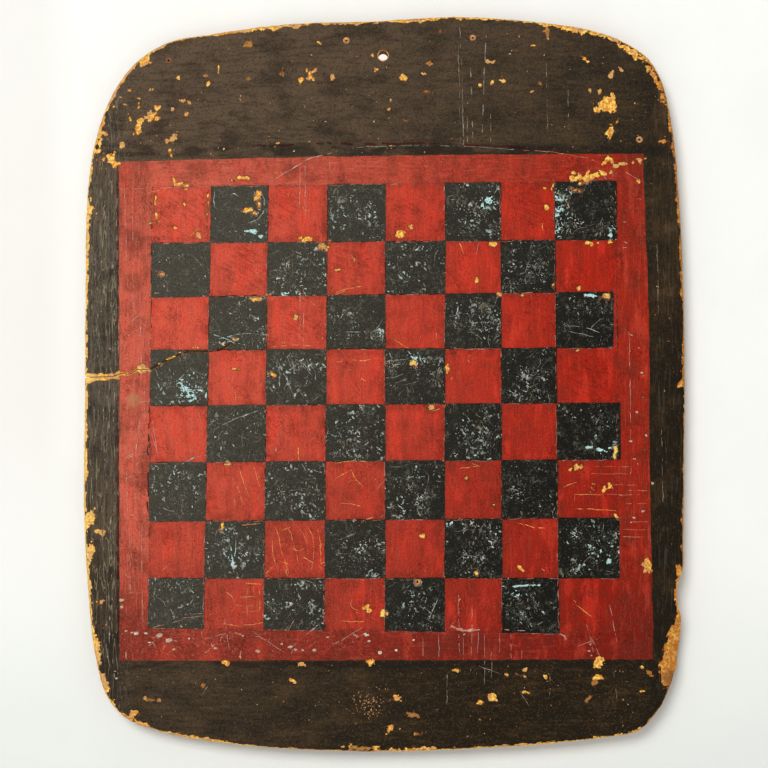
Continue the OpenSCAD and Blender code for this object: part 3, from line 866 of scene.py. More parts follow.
@dataclass
class Paintwork:
    """All coats of paint on the panel.

    Attributes:
        timber: The panel.
        ruling: The field and its squares.
        band_step: Spacing of the grid for the border and the field.
        square_step: Spacing of the grid for the squares.
        bare_hole: Bare ring round the hanging hole.
        bare_nail: Bare ring round a nail hole.
        base: How far the first coat's top is above the panel's face.
        middle: How far the second coat's top is above it.
        top: How far the uppermost coat's top is above it.
        rim_height: Height of the dark rim round the chips, partly painted shade at their edges and partly
            brown staining.
        rim_width: Its width.
        broken: The broken place at the lower right, as x and z.
    """

    timber: Timber
    ruling: Ruling = field(default_factory=Ruling)
    band_step: float = 0.6
    square_step: float = 0.36
    bare_hole: float = 0.8
    bare_nail: float = 1.5
    base: float = 0.3
    middle: float = 0.5
    top: float = 0.66
    rim_height: float = 0.1
    rim_width: float = 0.34
    broken: tuple[Place, ...] = (
        (202, -358), (190.5, -362), (188.4, -371), (184.8, -378), (181.4, -388.5), (179.8, -398),
        (179.4, -407), (182.4, -411), (190, -409), (202, -404),
    )

    def __post_init__(self) -> None:
        """Gathers the chips."""
        self.band_chips = flakes(TOP_BAND_LEFT + TOP_BAND_RIGHT + BOTTOM_BAND)
        self.band_chips += flakes(RIM, ragged=0.5)
        self.field_chips = flakes(FIELD_CHIPS)
        self.split_chips = flakes((
            (-170.3, 207.6, 4, 2.8, 80), (-157.4, 203.6, 6, 4.2, 6), (-153.5, 204, 4, 2),
            (-157.6, 200.9, 2.6, 0.8, 100),
        ))
        self.pale_chips = flakes(BLUE_SHOWS, Layer.BLUE)

    def _openings(self, lattice: Lattice, cover: Array, layer: Layer, nearer: float = 0.0) -> None:
        """Takes the holes' bare rings and the split's lips out of a cover."""
        x, z = lattice.x, lattice.z
        spread = 0.25 * (layer - 1) - nearer
        wander = 0.3 * Noise(1.6, 71).at(x, z)
        for k, (cx, cz, r) in enumerate(self.timber.holes):
            bare = self.bare_nail if k else self.bare_hole
            np.minimum(cover, np.hypot(x - cx, z - cz) - r - bare - spread + wander, out=cover)
        away = lattice.near(self.timber.split.line(), 7)
        lips = self.timber.split.lips(x) * (1 + 0.5 * Noise(5, 72).at(x, z) + 0.4 * Noise(1, 73).at(x, z))
        np.minimum(cover, away - np.maximum(lips + 0.4 * spread * (x < -160), 0.12), out=cover)

    def _field_reach(self, x: Array, z: Array) -> Array:
        """Returns how far each place lies inside the red field's painted edge."""
        left, right = -171.0, 173.0
        share = np.clip((x - left) / (right - left), 0, 1)
        bow = 1.4 * np.sin(math.pi * share) * (z > -200)
        sag = 1.6 * np.exp(-(((z + 170) / 70) ** 2)) * (x > 0)
        reach = within(self.ruling.field_corners(), x - sag, z - bow)
        return reach + uneven(x, z, 81)

    def bands(self) -> list[tuple[Film, Piece]]:
        """Makes the dark border's coat, the red field's coat and the dark rim round the chips, which is
        partly painted shade at their edges and partly brown staining.
        """
        outline = self.timber.outline
        low, high = outline.min(0) - 2, outline.max(0) + 2
        lattice = Lattice(tuple(low), tuple(high), self.band_step)
        x, z = lattice.x, lattice.z
        # The bare edge, wider at the left and along the top
        rim = lattice.near(resample(outline, 0.3, closed=True), 8)
        rim = np.where(lattice.inside(outline), rim, -rim)
        left, above = np.clip((-150 - x) / 25, 0, 1), np.clip(z / 15, 0, 1) * (np.abs(x - 20) < 130)
        bare = 0.8 + 0.9 * left + 0.7 * above
        bare += 1.1 * Noise(22, 91).at(x, z) + 0.8 * Noise(4.2, 92).at(x, z) + 0.5 * Noise(1.6, 93).at(x, z)
        border = rim - np.clip(bare, 0.14, 5)
        # The broken place, and the red field's edge
        line = np.array(self.broken)
        away = lattice.near(resample(line, 0.4, closed=True), 9)
        broken = np.where(lattice.inside(line), away, -away) + 1.1 * Noise(4, 94, 3).at(x, z)
        border = np.minimum(border, -broken)
        reach = self._field_reach(x, z)
        red = reach.copy()
        border = np.minimum(border, -reach)
        specks = 1.06 - Noise(1.5, 95, 2).at(x, z) - 0.2 * Noise(30, 96).at(x, z)
        speckled = np.where(rim > 3, specks * 1.2, np.inf)
        for cover in (border, red):
            self._openings(lattice, cover, Layer.FIELD)
            for chip in self.band_chips + self.field_chips + self.split_chips:
                chip.carve(lattice, cover, Layer.FIELD)
        # A dark rim lies round every bare place: partly painted shade at its edge, partly brown staining
        both = np.maximum(border, red)
        stain = np.minimum(both + self.rim_width + 0.3 * Noise(2.2, 97).at(x, z), 0.9 - both)
        stain = np.minimum(stain, rim - 0.12)
        self._openings(lattice, stain, Layer.FIELD, self.rim_width)
        border = np.minimum(border, speckled)
        made = []
        for film, cover in (
            (Film("border_paint", 0, self.base, Slot.BORDER, ("border_coat",)), border),
            (Film("field_paint", 0, self.base, Slot.FIELD, ("field_coat",)), red),
            # The dark rim round the chips: painted shade at their edges, and brown staining
            (Film("chip_stain_and_shade", 0, self.rim_height, Slot.BORDER, ()), stain),
        ):
            curved = None if film.slot is Slot.FIELD else rim < 4.2
            face = self.timber.thick if film.slot is Slot.FIELD else self.timber.front
            made.append((film, film.dress(lattice, cover, face, curved)))
        return made

    def rank(self, rank: int) -> list[tuple[Film, Piece]]:
        """Makes one rank's three coats: pale blue, black, and the second red."""
        squares = [self.ruling.corners(file, rank) for file in range(1, self.ruling.count + 1)]
        every = np.array(squares).reshape(-1, 2)
        lattice = Lattice(tuple(every.min(0) - 2), tuple(every.max(0) + 2), self.square_step)
        x, z = lattice.x, lattice.z
        black = np.full(x.shape, -1.0)
        red = np.full(x.shape, -1.0)
        wear = np.full(x.shape, -0.6)
        for file, corners in enumerate(squares, 1):
            reach = within(corners, x, z) + uneven(x, z, 100 + 7 * rank, 0.8)
            if not self.ruling.dark(file, rank):
                red = np.maximum(red, reach - 0.2)
                continue
            black = np.maximum(black, reach + 0.15)
            wear = np.maximum(wear, self._wear(file, rank, corners, x, z))
        wander = 0.7 * Noise(2.6, 300 + rank).at(x, z)
        grain = Noise(1.7, 200 + rank, 3).at(x + wander, z - wander)
        dots = Noise(0.9, 400 + rank, 1).at(x - wander, z + wander)
        groups = Noise(6.5, 600 + rank).at(x, z)
        pale = black.copy()
        worn = 1.12 - np.maximum(grain, dots * 0.9) - 0.5 * wear - 0.42 * groups * (wear > -0.3)
        black = np.minimum(black, worn)
        scuffed = 1.06 - Noise(1.3, 500 + rank, 3).at(x - wander, z) - 0.1 * Noise(16, 501).at(x, z)
        red = np.minimum(red, scuffed)
        made = []
        for name, node, slot, layer, cover in (
            ("blue", "blue_undercoat", Slot.BLUE, Layer.BLUE, pale),
            ("black", "dark_squares", Slot.BLACK, Layer.TOP, black),
            ("red", "light_squares", Slot.RED, Layer.BLUE, red),
        ):
            low, high = (self.middle, self.top) if layer is Layer.TOP else (self.base, self.middle)
            film = Film(f"{name}_rank_{rank}", low, high, slot, (f"{node}_rank_{rank}",))
            self._openings(lattice, cover, layer)
            for chip in self.field_chips + self.split_chips + self.pale_chips:
                chip.carve(lattice, cover, layer)
            made.append((film, film.dress(lattice, cover, self.timber.thick)))
        return made

    @staticmethod
    def _wear(file: int, rank: int, corners: Sequence[Place], x: Array, z: Array) -> Array:
        """Returns how worn a dark square is at each place."""
        found = np.full(x.shape, -0.6)
        (left, top), (right, bottom) = corners[0], corners[2]
        for row in DARK_WEAR:
            if row[:2] != (file, rank):
                continue
            amount, u, v, spread = row[2:]
            across = ((x - left) / (right - left) - u) / spread
            down = ((z - top) / (bottom - top) - v) / spread
            here = (amount + 0.1) * np.exp(-(across**2 + down**2) / 1.6) - 0.12
            found = np.maximum(found, np.where(within(corners, x, z) > -1, here, -0.6))
        return found


@dataclass(frozen=True)
class Scratch:
    """One scratch, drawn as a line of even or tapering width.

    Attributes:
        points: Its points, each as how far right of the hanging hole and how far below it.
        width: Its widest, in millimetres.
        broken: How much of it is missing, from 0 to 1.
        bend: How far it wanders from its straight runs.
    """

    points: tuple[Place, ...]
    width: float = 0.35
    broken: float = 0.25
    bend: float = 0.3


def scratches(width: float, broken: float, *rows: tuple[float, ...], bend: float = 0.3) -> list[Scratch]:
    """Returns scratches of the same width and wear, from rows of x and down, point after point."""
    return [Scratch(tuple(zip(row[::2], row[1::2])), width, broken, bend) for row in rows]


# Scratches down to the wood
AMBER_SCRATCHES = [
    *scratches(
        0.3, 0.42,
        (-153, 89.5, -140, 86.2, -127.5, 83.5), (-153, 109.5, -145, 107.5),
        (-73, 189.5, -60, 188.2, -46, 188.8), (-31, 154, -22, 151.4, -14, 150), (-33, 156.5, -22, 152),
        (103.5, 109, 104, 114), (35, 180, 34.5, 188), (-30, 199.5, -22, 197.6, -12, 198.4, -4, 196.6),
        (-33, 265, -18, 263.4, -4, 264), (-92, 305, -80, 304), (-27, 367.2, -20, 367.8, -12.5, 367.5),
        (92, 304.5, 98, 306.6, 105, 307), (-16, 306, -12, 302, -6, 300), (50, 268, 62, 267),
        (28, 231, 34, 230.6, 41, 228),
    ),
    *scratches(
        0.24, 0.16,
        (-70, 306, -67.6, 313, -66, 322, -61, 337), (-64, 304, -59.6, 311, -58, 318, -54.5, 331),
        (-57, 305, -52, 310, -49.5, 317), (-49, 306, -46, 312, -44.5, 321, -46.5, 335),
        (-42.5, 308, -40.5, 316, -40.5, 329), (-72, 315, -71.6, 324, -69, 333), (-52, 326, -45, 330),
        (-66, 309, -60, 306.5), (-93, 269.5, -90.6, 278, -86.5, 288), (-84, 266, -80, 281),
        (-97, 276, -93.4, 283, -91, 292), (-31, 275, -22, 270), (-21, 269, -18, 275, -13, 280),
        (-28, 291, -20, 291.4, -14, 293.5), (-60, 320, -55, 322, -51, 320), (-68, 328, -60, 331),
    ),
    *scratches(
        0.24, 0.22,
        (-93, 352, -86, 351.4, -78, 352), (-88, 346, -88.6, 356, -88, 367),
        (-80.5, 348, -80, 355, -80.5, 361), (-81, 361, -92, 361.8), (-93, 370, -85, 369.8, -77, 368.5),
        (-84, 345, -83.5, 351), (-96, 357, -90, 358, -84, 357.5), (-90, 343, -79, 343.5),
        (-77, 352, -76.6, 366), (124, 285.2, 134, 285.3, 144, 285.3), (124.4, 289.5, 124.2, 293),
        (125.2, 294.6, 138, 295, 151.6, 295.8),
    ),
]
# Scratches that show the pale coat under the black
PALE_SCRATCHES = [
    *scratches(
        0.46, 0.3,
        (-84, 86.5, -79, 88.5, -77, 94, -77.6, 101.5, -81.5, 106.6, -88, 109),
        (-109.3, 88, -109.8, 95, -108.8, 101, -109, 108.5), (-101, 313, -98.4, 322, -97, 336),
        (-95.6, 312, -95.8, 322, -98, 334), (-110.5, 243.5, -104, 240, -97, 236.6, -81, 230.5),
        (-131, 265.5, -122, 261, -114, 259.5), (-69, 200, -67, 207, -67.4, 215), (-60, 196, -57, 204),
        (-50, 197, -47.4, 205), (-63, 208, -60, 217), (-100, 94.5, -99.8, 91, -96.6, 89.8, -93.4, 92),
    ),
    *scratches(
        0.26, 0.3,
        (-109, 181.5, -103, 183.6, -96, 187.5), (-107, 184.5, -97, 182),
        (-96, 181.5, -85, 180.4, -74, 182),
        (-31, 182, -23, 179.6, -14, 179.8, -8.4, 180.8, -2.5, 176, 0, 171),
        (-47, 201, -44, 206, -43.5, 212), (-52, 200, -46, 208), (-57, 214, -52, 221),
        (2, 209.5, 8, 209, 13, 207), (2, 213.5, 10, 212.6, 15, 210), (2, 199, 8, 198, 16, 197.4),
        (2, 202, 12, 200.4), (34, 202, 35.6, 207, 32, 213), (-70, 258, -68, 248, -63, 240),
        (-55, 262, -50, 270), (118, 175.5, 130, 176.5, 141, 180), (120, 179, 138, 183),
        (143, 240, 146.5, 241, 149, 244), (-24, 247, -18, 256), (-30, 242, -26, 250),
        (-132, 210, -126, 204), (30, 366, 36, 352), (80, 283, 84, 281.6, 88, 283),
        (79, 286, 83, 287.4, 86, 285),
    ),
    *scratches(
        0.8, 0.1,
        (136.6, 80, 137.8, 82.4), (140.2, 79.8, 141.2, 81.6), (143.8, 78.2, 145.4, 80.6),
        (147, 77.8, 147.8, 80.4), (149.6, 76.6, 149.2, 79.2), (-145.4, 199.6, -142.6, 200.6),
    ),
]
# Dusty scratches on the red. The two lines at x about -172 along the field's left edge are a painted
# highlight on the raised paint ridge there.
DUSTY_SCRATCHES_AND_RIDGE_HIGHLIGHT = [
    *scratches(0.45, 0.25, (-73.5, 82, -62.5, 75.5, -49, 67.5, -31, 62.5)),
    *scratches(1.3, 0.1, (44, 370.8, 52, 373.6, 63, 373.2)),
    *scratches(0.7, 0.2, (47, 372.6, 57, 374.6)),
    *scratches(0.6, 0.4, (96, 375.5, 104, 375, 112, 374.6)),
    *scratches(0.7, 0.15, (114, 375.6, 118, 377.2, 119, 380)),
    *scratches(0.45, 0.4, (79, 373, 92.5, 374)),
    *scratches(
        0.2, 0.42,
        # The first two rows are a painted highlight on the paint ridge at the field's left edge
        (-172.4, 78, -173, 110, -172.6, 150), (-171.8, 150, -172, 200), (-171, 87, -140, 86, -110.5, 85),
        (-54, 72, -54, 106), (-50.5, 71, -50.5, 106), (-54, 152, -54, 190), (-52, 145, -51.5, 190),
        (-34.5, 66, -34.5, 82), (-161, 283, -160, 290), (-160, 239, -150, 225), (-163, 247, -146, 243),
        (-161, 262, -157, 229), (-168, 275, -150, 270), (-167, 250, -166, 300), (-168, 300, -152, 296),
        (-150, 236, -146, 262), (-164, 226, -150, 224), (-170, 262, -151, 258), (-155, 232, -147, 256),
        (-50.5, 386.5, -43.5, 380.5), (-33, 383, -12, 371), (49, 350, 49.5, 388), (58, 352, 57.5, 390),
        (66, 376, 66, 392), (-24, 340, -12, 341), (147, 354, 152, 382), (131, 365, 137, 388),
        (160, 180, 161, 250), (-2, 300, 8, 292), (106, 63, 112, 60), (-62, 374, -55, 362),
        (-133, 366, -110, 363), (134, 376, 142, 392), (126, 384, 140, 379), (-103, 366, -100, 386),
        (155, 74, 168, 82), (161, 92, 170, 94), (63, 118, 60, 132), (-4, 282, 6, 270),
        (-168, 84, -166, 150), (-163, 90, -162, 170), (-158, 160, -157, 205), (-165, 300, -164, 350),
        (-157, 310, -156, 372), (-60, 385, -42, 370), (-85, 374, -64, 388), (-150, 372, -128, 366),
        (-118, 380, -96, 374), (52, 374, 52.4, 393), (62, 372, 61.6, 391), (70, 378, 70.4, 393),
        (76, 374, 75.6, 388), (83, 376, 83.4, 392), (90, 380, 90, 393), (36, 376, 36.4, 392),
        (26, 378, 26, 390),
    ),
]
# Scratches that only thin the red
SALMON_SCRATCHES = [
    *scratches(
        0.28, 0.3,
        (137.8, 267.1, 150, 267.2, 161.8, 267.4), (161.6, 267.6, 160.5, 272.2),
        (134.5, 271.4, 147, 271.9, 160.5, 272), (149.2, 279, 164.6, 279.1),
        (144, 285.3, 156, 285.5, 167, 285.6), (124.4, 285.6, 124.4, 289.6), (155.7, 308, 171.9, 308.2),
        (155.7, 312.5, 172.4, 313.4), (158.9, 303.1, 171.9, 303.1), (157.3, 291.3, 172, 291.3),
        (158.9, 282.8, 172.4, 282.9), (-150.8, 378.2, -140, 378.4, -132, 378),
        (-167.4, 349.5, -153.5, 348.7), (90, 61.5, 108, 62.5, 126.3, 65.3, 136.7, 67.9, 141, 70.5),
    ),
]
# Scratches in the dark border. The pale lines that follow the red field's left edge, at x about -174 to -176,
# are painted highlights on the raised paint ridge there.
GREY_SCRATCHES_AND_RIDGE_HIGHLIGHTS = [
    *scratches(0.35, 0.6, (-31, 62.5, -16.5, 59.5, 11, 58.8, 36, 58.6, 63, 59.5, 90, 61.5)),
    *scratches(
        0.34, 0.4,
        # The lines at x about -174 to -176 are painted highlights on the paint ridge at the field's left edge
        (-174.4, 118, -175.6, 150, -174.2, 178), (-176, 132, -176.8, 168), (-174, 186, -173.6, 202),
        (-174, 214, -175.4, 240, -174, 268), (-177, 222, -178.6, 250), (-182, 228, -181, 262),
        (-174.6, 270, -174.2, 300), (-188, 226, -187, 250),
    ),
    *scratches(
        0.6, 0.3,
        (-178.2, 348.7, -177.6, 368, -177.9, 382), (-176.4, 352, -176.1, 374), (-180, 382, -178, 396),
        (-175.6, 392, -174.4, 405), (-177, 300, -176.4, 330),
    ),
    *scratches(
        0.5, 0.5,
        (50, -18, 51.5, 20, 52.5, 58), (57, 8, 58.5, 57), (67, -13, 65.5, 20, 64.5, 51),
    ),
    *scratches(
        0.26, 0.5,
        (49, -6, 50.5, 57), (54.5, 30, 55, 58), (70, 31, 70, 57), (106, 5, 107, 50), (62, 397, 77, 402),
        (41.5, 394, 41.5, 422), (108.5, 402, 108.5, 416), (66, 393, 66, 411), (71, 393, 70.5, 404),
        (57, 393, 57, 400), (-191, 250, -188, 300), (-183, 290, -181, 350), (-176.5, 330, -175.5, 380),
        (-186, 150, -184, 195), (-181, 90, -180, 130), (-174.5, 300, -174, 352), (-175, 376, -172, 402),
        (178, 120, 179, 170), (181, 240, 182, 290), (88, 412, 96, 424), (-118, 416, -114, 410),
        (120, 20, 121, 48), (-60, 30, -48, 28), (150, 400, 152, 418),
    ),
]
# Round spots of pale paint, as x, down and width
SPATTER = (
    (-167, 374, 2.2), (-163, 375, 2), (-160.5, 375.5, 3.4), (-145.5, 377, 4.4), (-139, 380, 4.6),
    (-136, 386, 2.2), (-152, 381.5, 2), (-81.5, 387, 3), (-60.5, 384.5, 3.2), (-57, 386, 2.2),
    (-52.5, 386.5, 2), (-66, 382.5, 1.7), (-44.5, 386.5, 2.6), (-11, 376.5, 3.4), (-9, 380.5, 2.4),
    (-2, 388, 2.8), (-109, 385, 1.8), (8.5, 386.5, 2.6), (-170, 354, 3.2), (-170, 358.5, 2.2),
    (-48, 56, 0.9), (-37.5, 43, 0.8), (104.5, -0.5, 1), (82.5, -1, 0.9), (121.5, 9, 1.1), (55, 31, 1.4),
    (-148, 154.5, 1.4), (165, 232, 1.8), (168, 206, 1.6), (166, 190, 1.2), (171, 247, 1.5),
    (163, 262, 1.2), (169, 222, 1.2), (134, 387, 2.4), (134.5, 383, 1.6), (135.5, 390, 1.6),
    (-174, 400, 1.4), (-173, 405, 2), (-142, 150, 1), (-120, 352, 1.2), (-131, 371, 1.6), (-126, 379, 1.2),
    (-91, 377, 1.4), (-36, 378, 1.4), (20, 380, 1.2), (-93, 391, 1.4), (53, 376, 1.4), (-58, 62, 1.2),
    (161, 250.7, 1.5), (163.8, 262.5, 1), (165.4, 265.3, 0.9), (169, 296.2, 2.4), (163, 300.3, 1.5),
    (161, 303.5, 1.2), (175, 278, 2.2), (-154, 375.6, 2.6),
)
# Bits of wood left in the narrow part of the split
SPLIT_DOTS = (
    (-145.6, 200.4, 1.6), (-143.8, 201.2, 1.3), (-140, 197.6, 1.4), (-138.6, 196.8, 2),
    (-136.8, 196.2, 1.8), (-135.4, 195.8, 1), (-132, 193, 1.3), (-123.4, 189.9, 1.2), (-121.8, 189.7, 1.5),
    (-120.2, 189.8, 1), (-105.2, 187.4, 1.1), (-103.6, 186.8, 1.3), (-102.4, 187.2, 0.9),
    (-96.6, 184.8, 3), (-94.8, 184.4, 1.8),
)


Number = "Value | float"


class Value:
    """One number of a material's nodes. Arithmetic on it adds Math nodes."""

    def __init__(self, mixer: "Mixer", socket: Socket) -> None:
        """Wraps a socket."""
        self.mixer = mixer
        self.socket = socket

    def __add__(self, other: Number) -> "Value":
        """Adds."""
        return self.mixer.math("ADD", self, other)

    __radd__ = __add__

    def __sub__(self, other: Number) -> "Value":
        """Subtracts."""
        return self.mixer.math("SUBTRACT", self, other)

    def __rsub__(self, other: Number) -> "Value":
        """Subtracts the value from a number."""
        return self.mixer.math("SUBTRACT", other, self)

    def __mul__(self, other: Number) -> "Value":
        """Multiplies."""
        return self.mixer.math("MULTIPLY", self, other)

    __rmul__ = __mul__

    def __abs__(self) -> "Value":
        """Returns its size without its sign."""
        return self.mixer.math("ABSOLUTE", self, 0.0)

    def above(self, low: float, high: float) -> "Value":
        """Returns a smooth step from 0 at low to 1 at high."""
        smooth = {"interpolation_type": "SMOOTHSTEP"}
        inputs = {0: self, 1: low, 2: high, 3: 0.0, 4: 1.0}
        return Value(self.mixer, self.mixer.out("ShaderNodeMapRange", smooth, inputs))

    def veins(self, width: float) -> "Value":
        """Returns thin lines where the value passes through its middle."""
        return abs(self - 0.5).above(width, 0.0)


class Nodes:
    """Adds nodes to one tree."""

    def __init__(self, tree: bpy.types.NodeTree) -> None:
        """Takes the tree."""
        self.tree = tree

    def node(self, kind: str, settings: dict | None = None, inputs: dict | None = None) -> bpy.types.Node:
        """Adds a node.

        Args:
            kind: Its type.
            settings: Its properties, set first.
            inputs: Values or links of its sockets, by number or name.

        Returns:
            The node.
        """
        made = self.tree.nodes.new(kind)
        for key, value in (settings or {}).items():
            setattr(made, key, value)
        for key, value in (inputs or {}).items():
            value = value.socket if isinstance(value, Value) else value
            if isinstance(value, Socket):
                self.tree.links.new(value, made.inputs[key])
            else:
                made.inputs[key].default_value = value
        return made

    def out(self, kind: str, settings: dict | None = None, inputs: dict | None = None) -> Socket:
        """Adds a node and returns its first output."""
        return self.node(kind, settings, inputs).outputs[0]


class Growth(Nodes):
    """Builds one geometry node tree and runs it on an object."""

    def __init__(self, name: str, **numbers: float) -> None:
        """Starts a tree with a geometry input and some named numbers.

        Args:
            name: The tree's name.
            numbers: Its named inputs and their values.
        """
        super().__init__(bpy.data.node_groups.new(name, "GeometryNodeTree"))
        face = self.tree.interface
        face.new_socket("Geometry", in_out="INPUT", socket_type="NodeSocketGeometry")
        face.new_socket("Geometry", in_out="OUTPUT", socket_type="NodeSocketGeometry")
        self.numbers = numbers
        self.keys = {}
        for key in numbers:
            socket = face.new_socket(key, in_out="INPUT", socket_type="NodeSocketFloat")
            self.keys[key] = socket.identifier
        self.start = self.tree.nodes.new("NodeGroupInput").outputs


    def bar(self, curve: Socket, thick: Socket | float, scale: Socket | float) -> Socket:
        """Runs a low flat bar along a curve that lies level."""
        level = self.out("GeometryNodeSetCurveNormal", {"mode": "Z_UP"}, {0: curve})
        profile = self.out("GeometryNodeCurvePrimitiveQuadrilateral", {}, {0: 2.0, 1: thick})
        inputs = {"Curve": level, "Profile Curve": profile, "Scale": scale, "Fill Caps": True}
        return self.out("GeometryNodeCurveToMesh", {}, inputs)

    def wander(self, shapes: Socket, size: float, reach: float) -> Socket:
        """Pushes shapes about on the level, so that no two are alike.

        Args:
            shapes: The shapes.
            size: Size of the swells that push them.
            reach: How strongly they are pushed.

        Returns:
            The uneven shapes.
        """
        real = self.out("GeometryNodeRealizeInstances", {}, {0: shapes})
        swells = self.node("ShaderNodeTexNoise", {}, {"Scale": 1 / size, "Detail": 2.0}).outputs["Color"]
        settings = {"operation": "MULTIPLY_ADD"}
        push = {0: swells, 1: (reach, reach, 0.0), 2: (-reach / 2, -reach / 2, 0.0)}
        offset = self.out("ShaderNodeVectorMath", settings, push)
        return self.out("GeometryNodeSetPosition", {}, {"Geometry": real, "Offset": offset})

    def run(self, result: Socket, source: bpy.types.ID, name: str, finish: Material) -> Piece:
        """Stands the result upright and turns it into a mesh of its own.

        Args:
            result: What the tree makes, lying level, in millimetres.
            source: The mesh or curve that it starts from.
            name: The new object's name.
            finish: Its material.

        Returns:
            The object, at the origin.
        """
        real = self.out("GeometryNodeRealizeInstances", {}, {0: result})
        inputs = {"Geometry": real, "Rotation": (math.radians(90), 0, 0), "Scale": (MM, MM, MM)}
        upright = self.out("GeometryNodeTransform", {}, inputs)
        dressed = self.out("GeometryNodeSetMaterial", {}, {"Geometry": upright, "Material": finish})
        self.node("NodeGroupOutput", {}, {0: dressed})
        seed = stand(f"{name}_seed", source)
        grow = seed.modifiers.new(name, "NODES")
        grow.node_group = self.tree
        for key, value in self.numbers.items():
            grow[self.keys[key]] = value
        depsgraph = bpy.context.evaluated_depsgraph_get()
        mesh = bpy.data.meshes.new_from_object(seed.evaluated_get(depsgraph), depsgraph=depsgraph)
        seed.modifiers.remove(grow)
        bpy.data.objects.remove(seed)
        return stand(name, mesh)


class Mark(Enum):
    """What is strewn over the paint."""

    STROKE = "stroke"
    BLOB = "blob"
    RING = "ring"


@dataclass(frozen=True)
class Shape:
    """The shape of strewn marks.

    Attributes:
        mark: What they are.
        width: A stroke's half width as a share of its length, or the others' unevenness.
        height: How tall a mark is, as a share of its half width.
        seed: Chooses how they turn.
        turns: The least and the greatest turn, in degrees.
    """

    mark: Mark = Mark.STROKE
    width: float = 0.16
    height: float = 0.35
    seed: int = 3
    turns: Place = (0.0, 360.0)


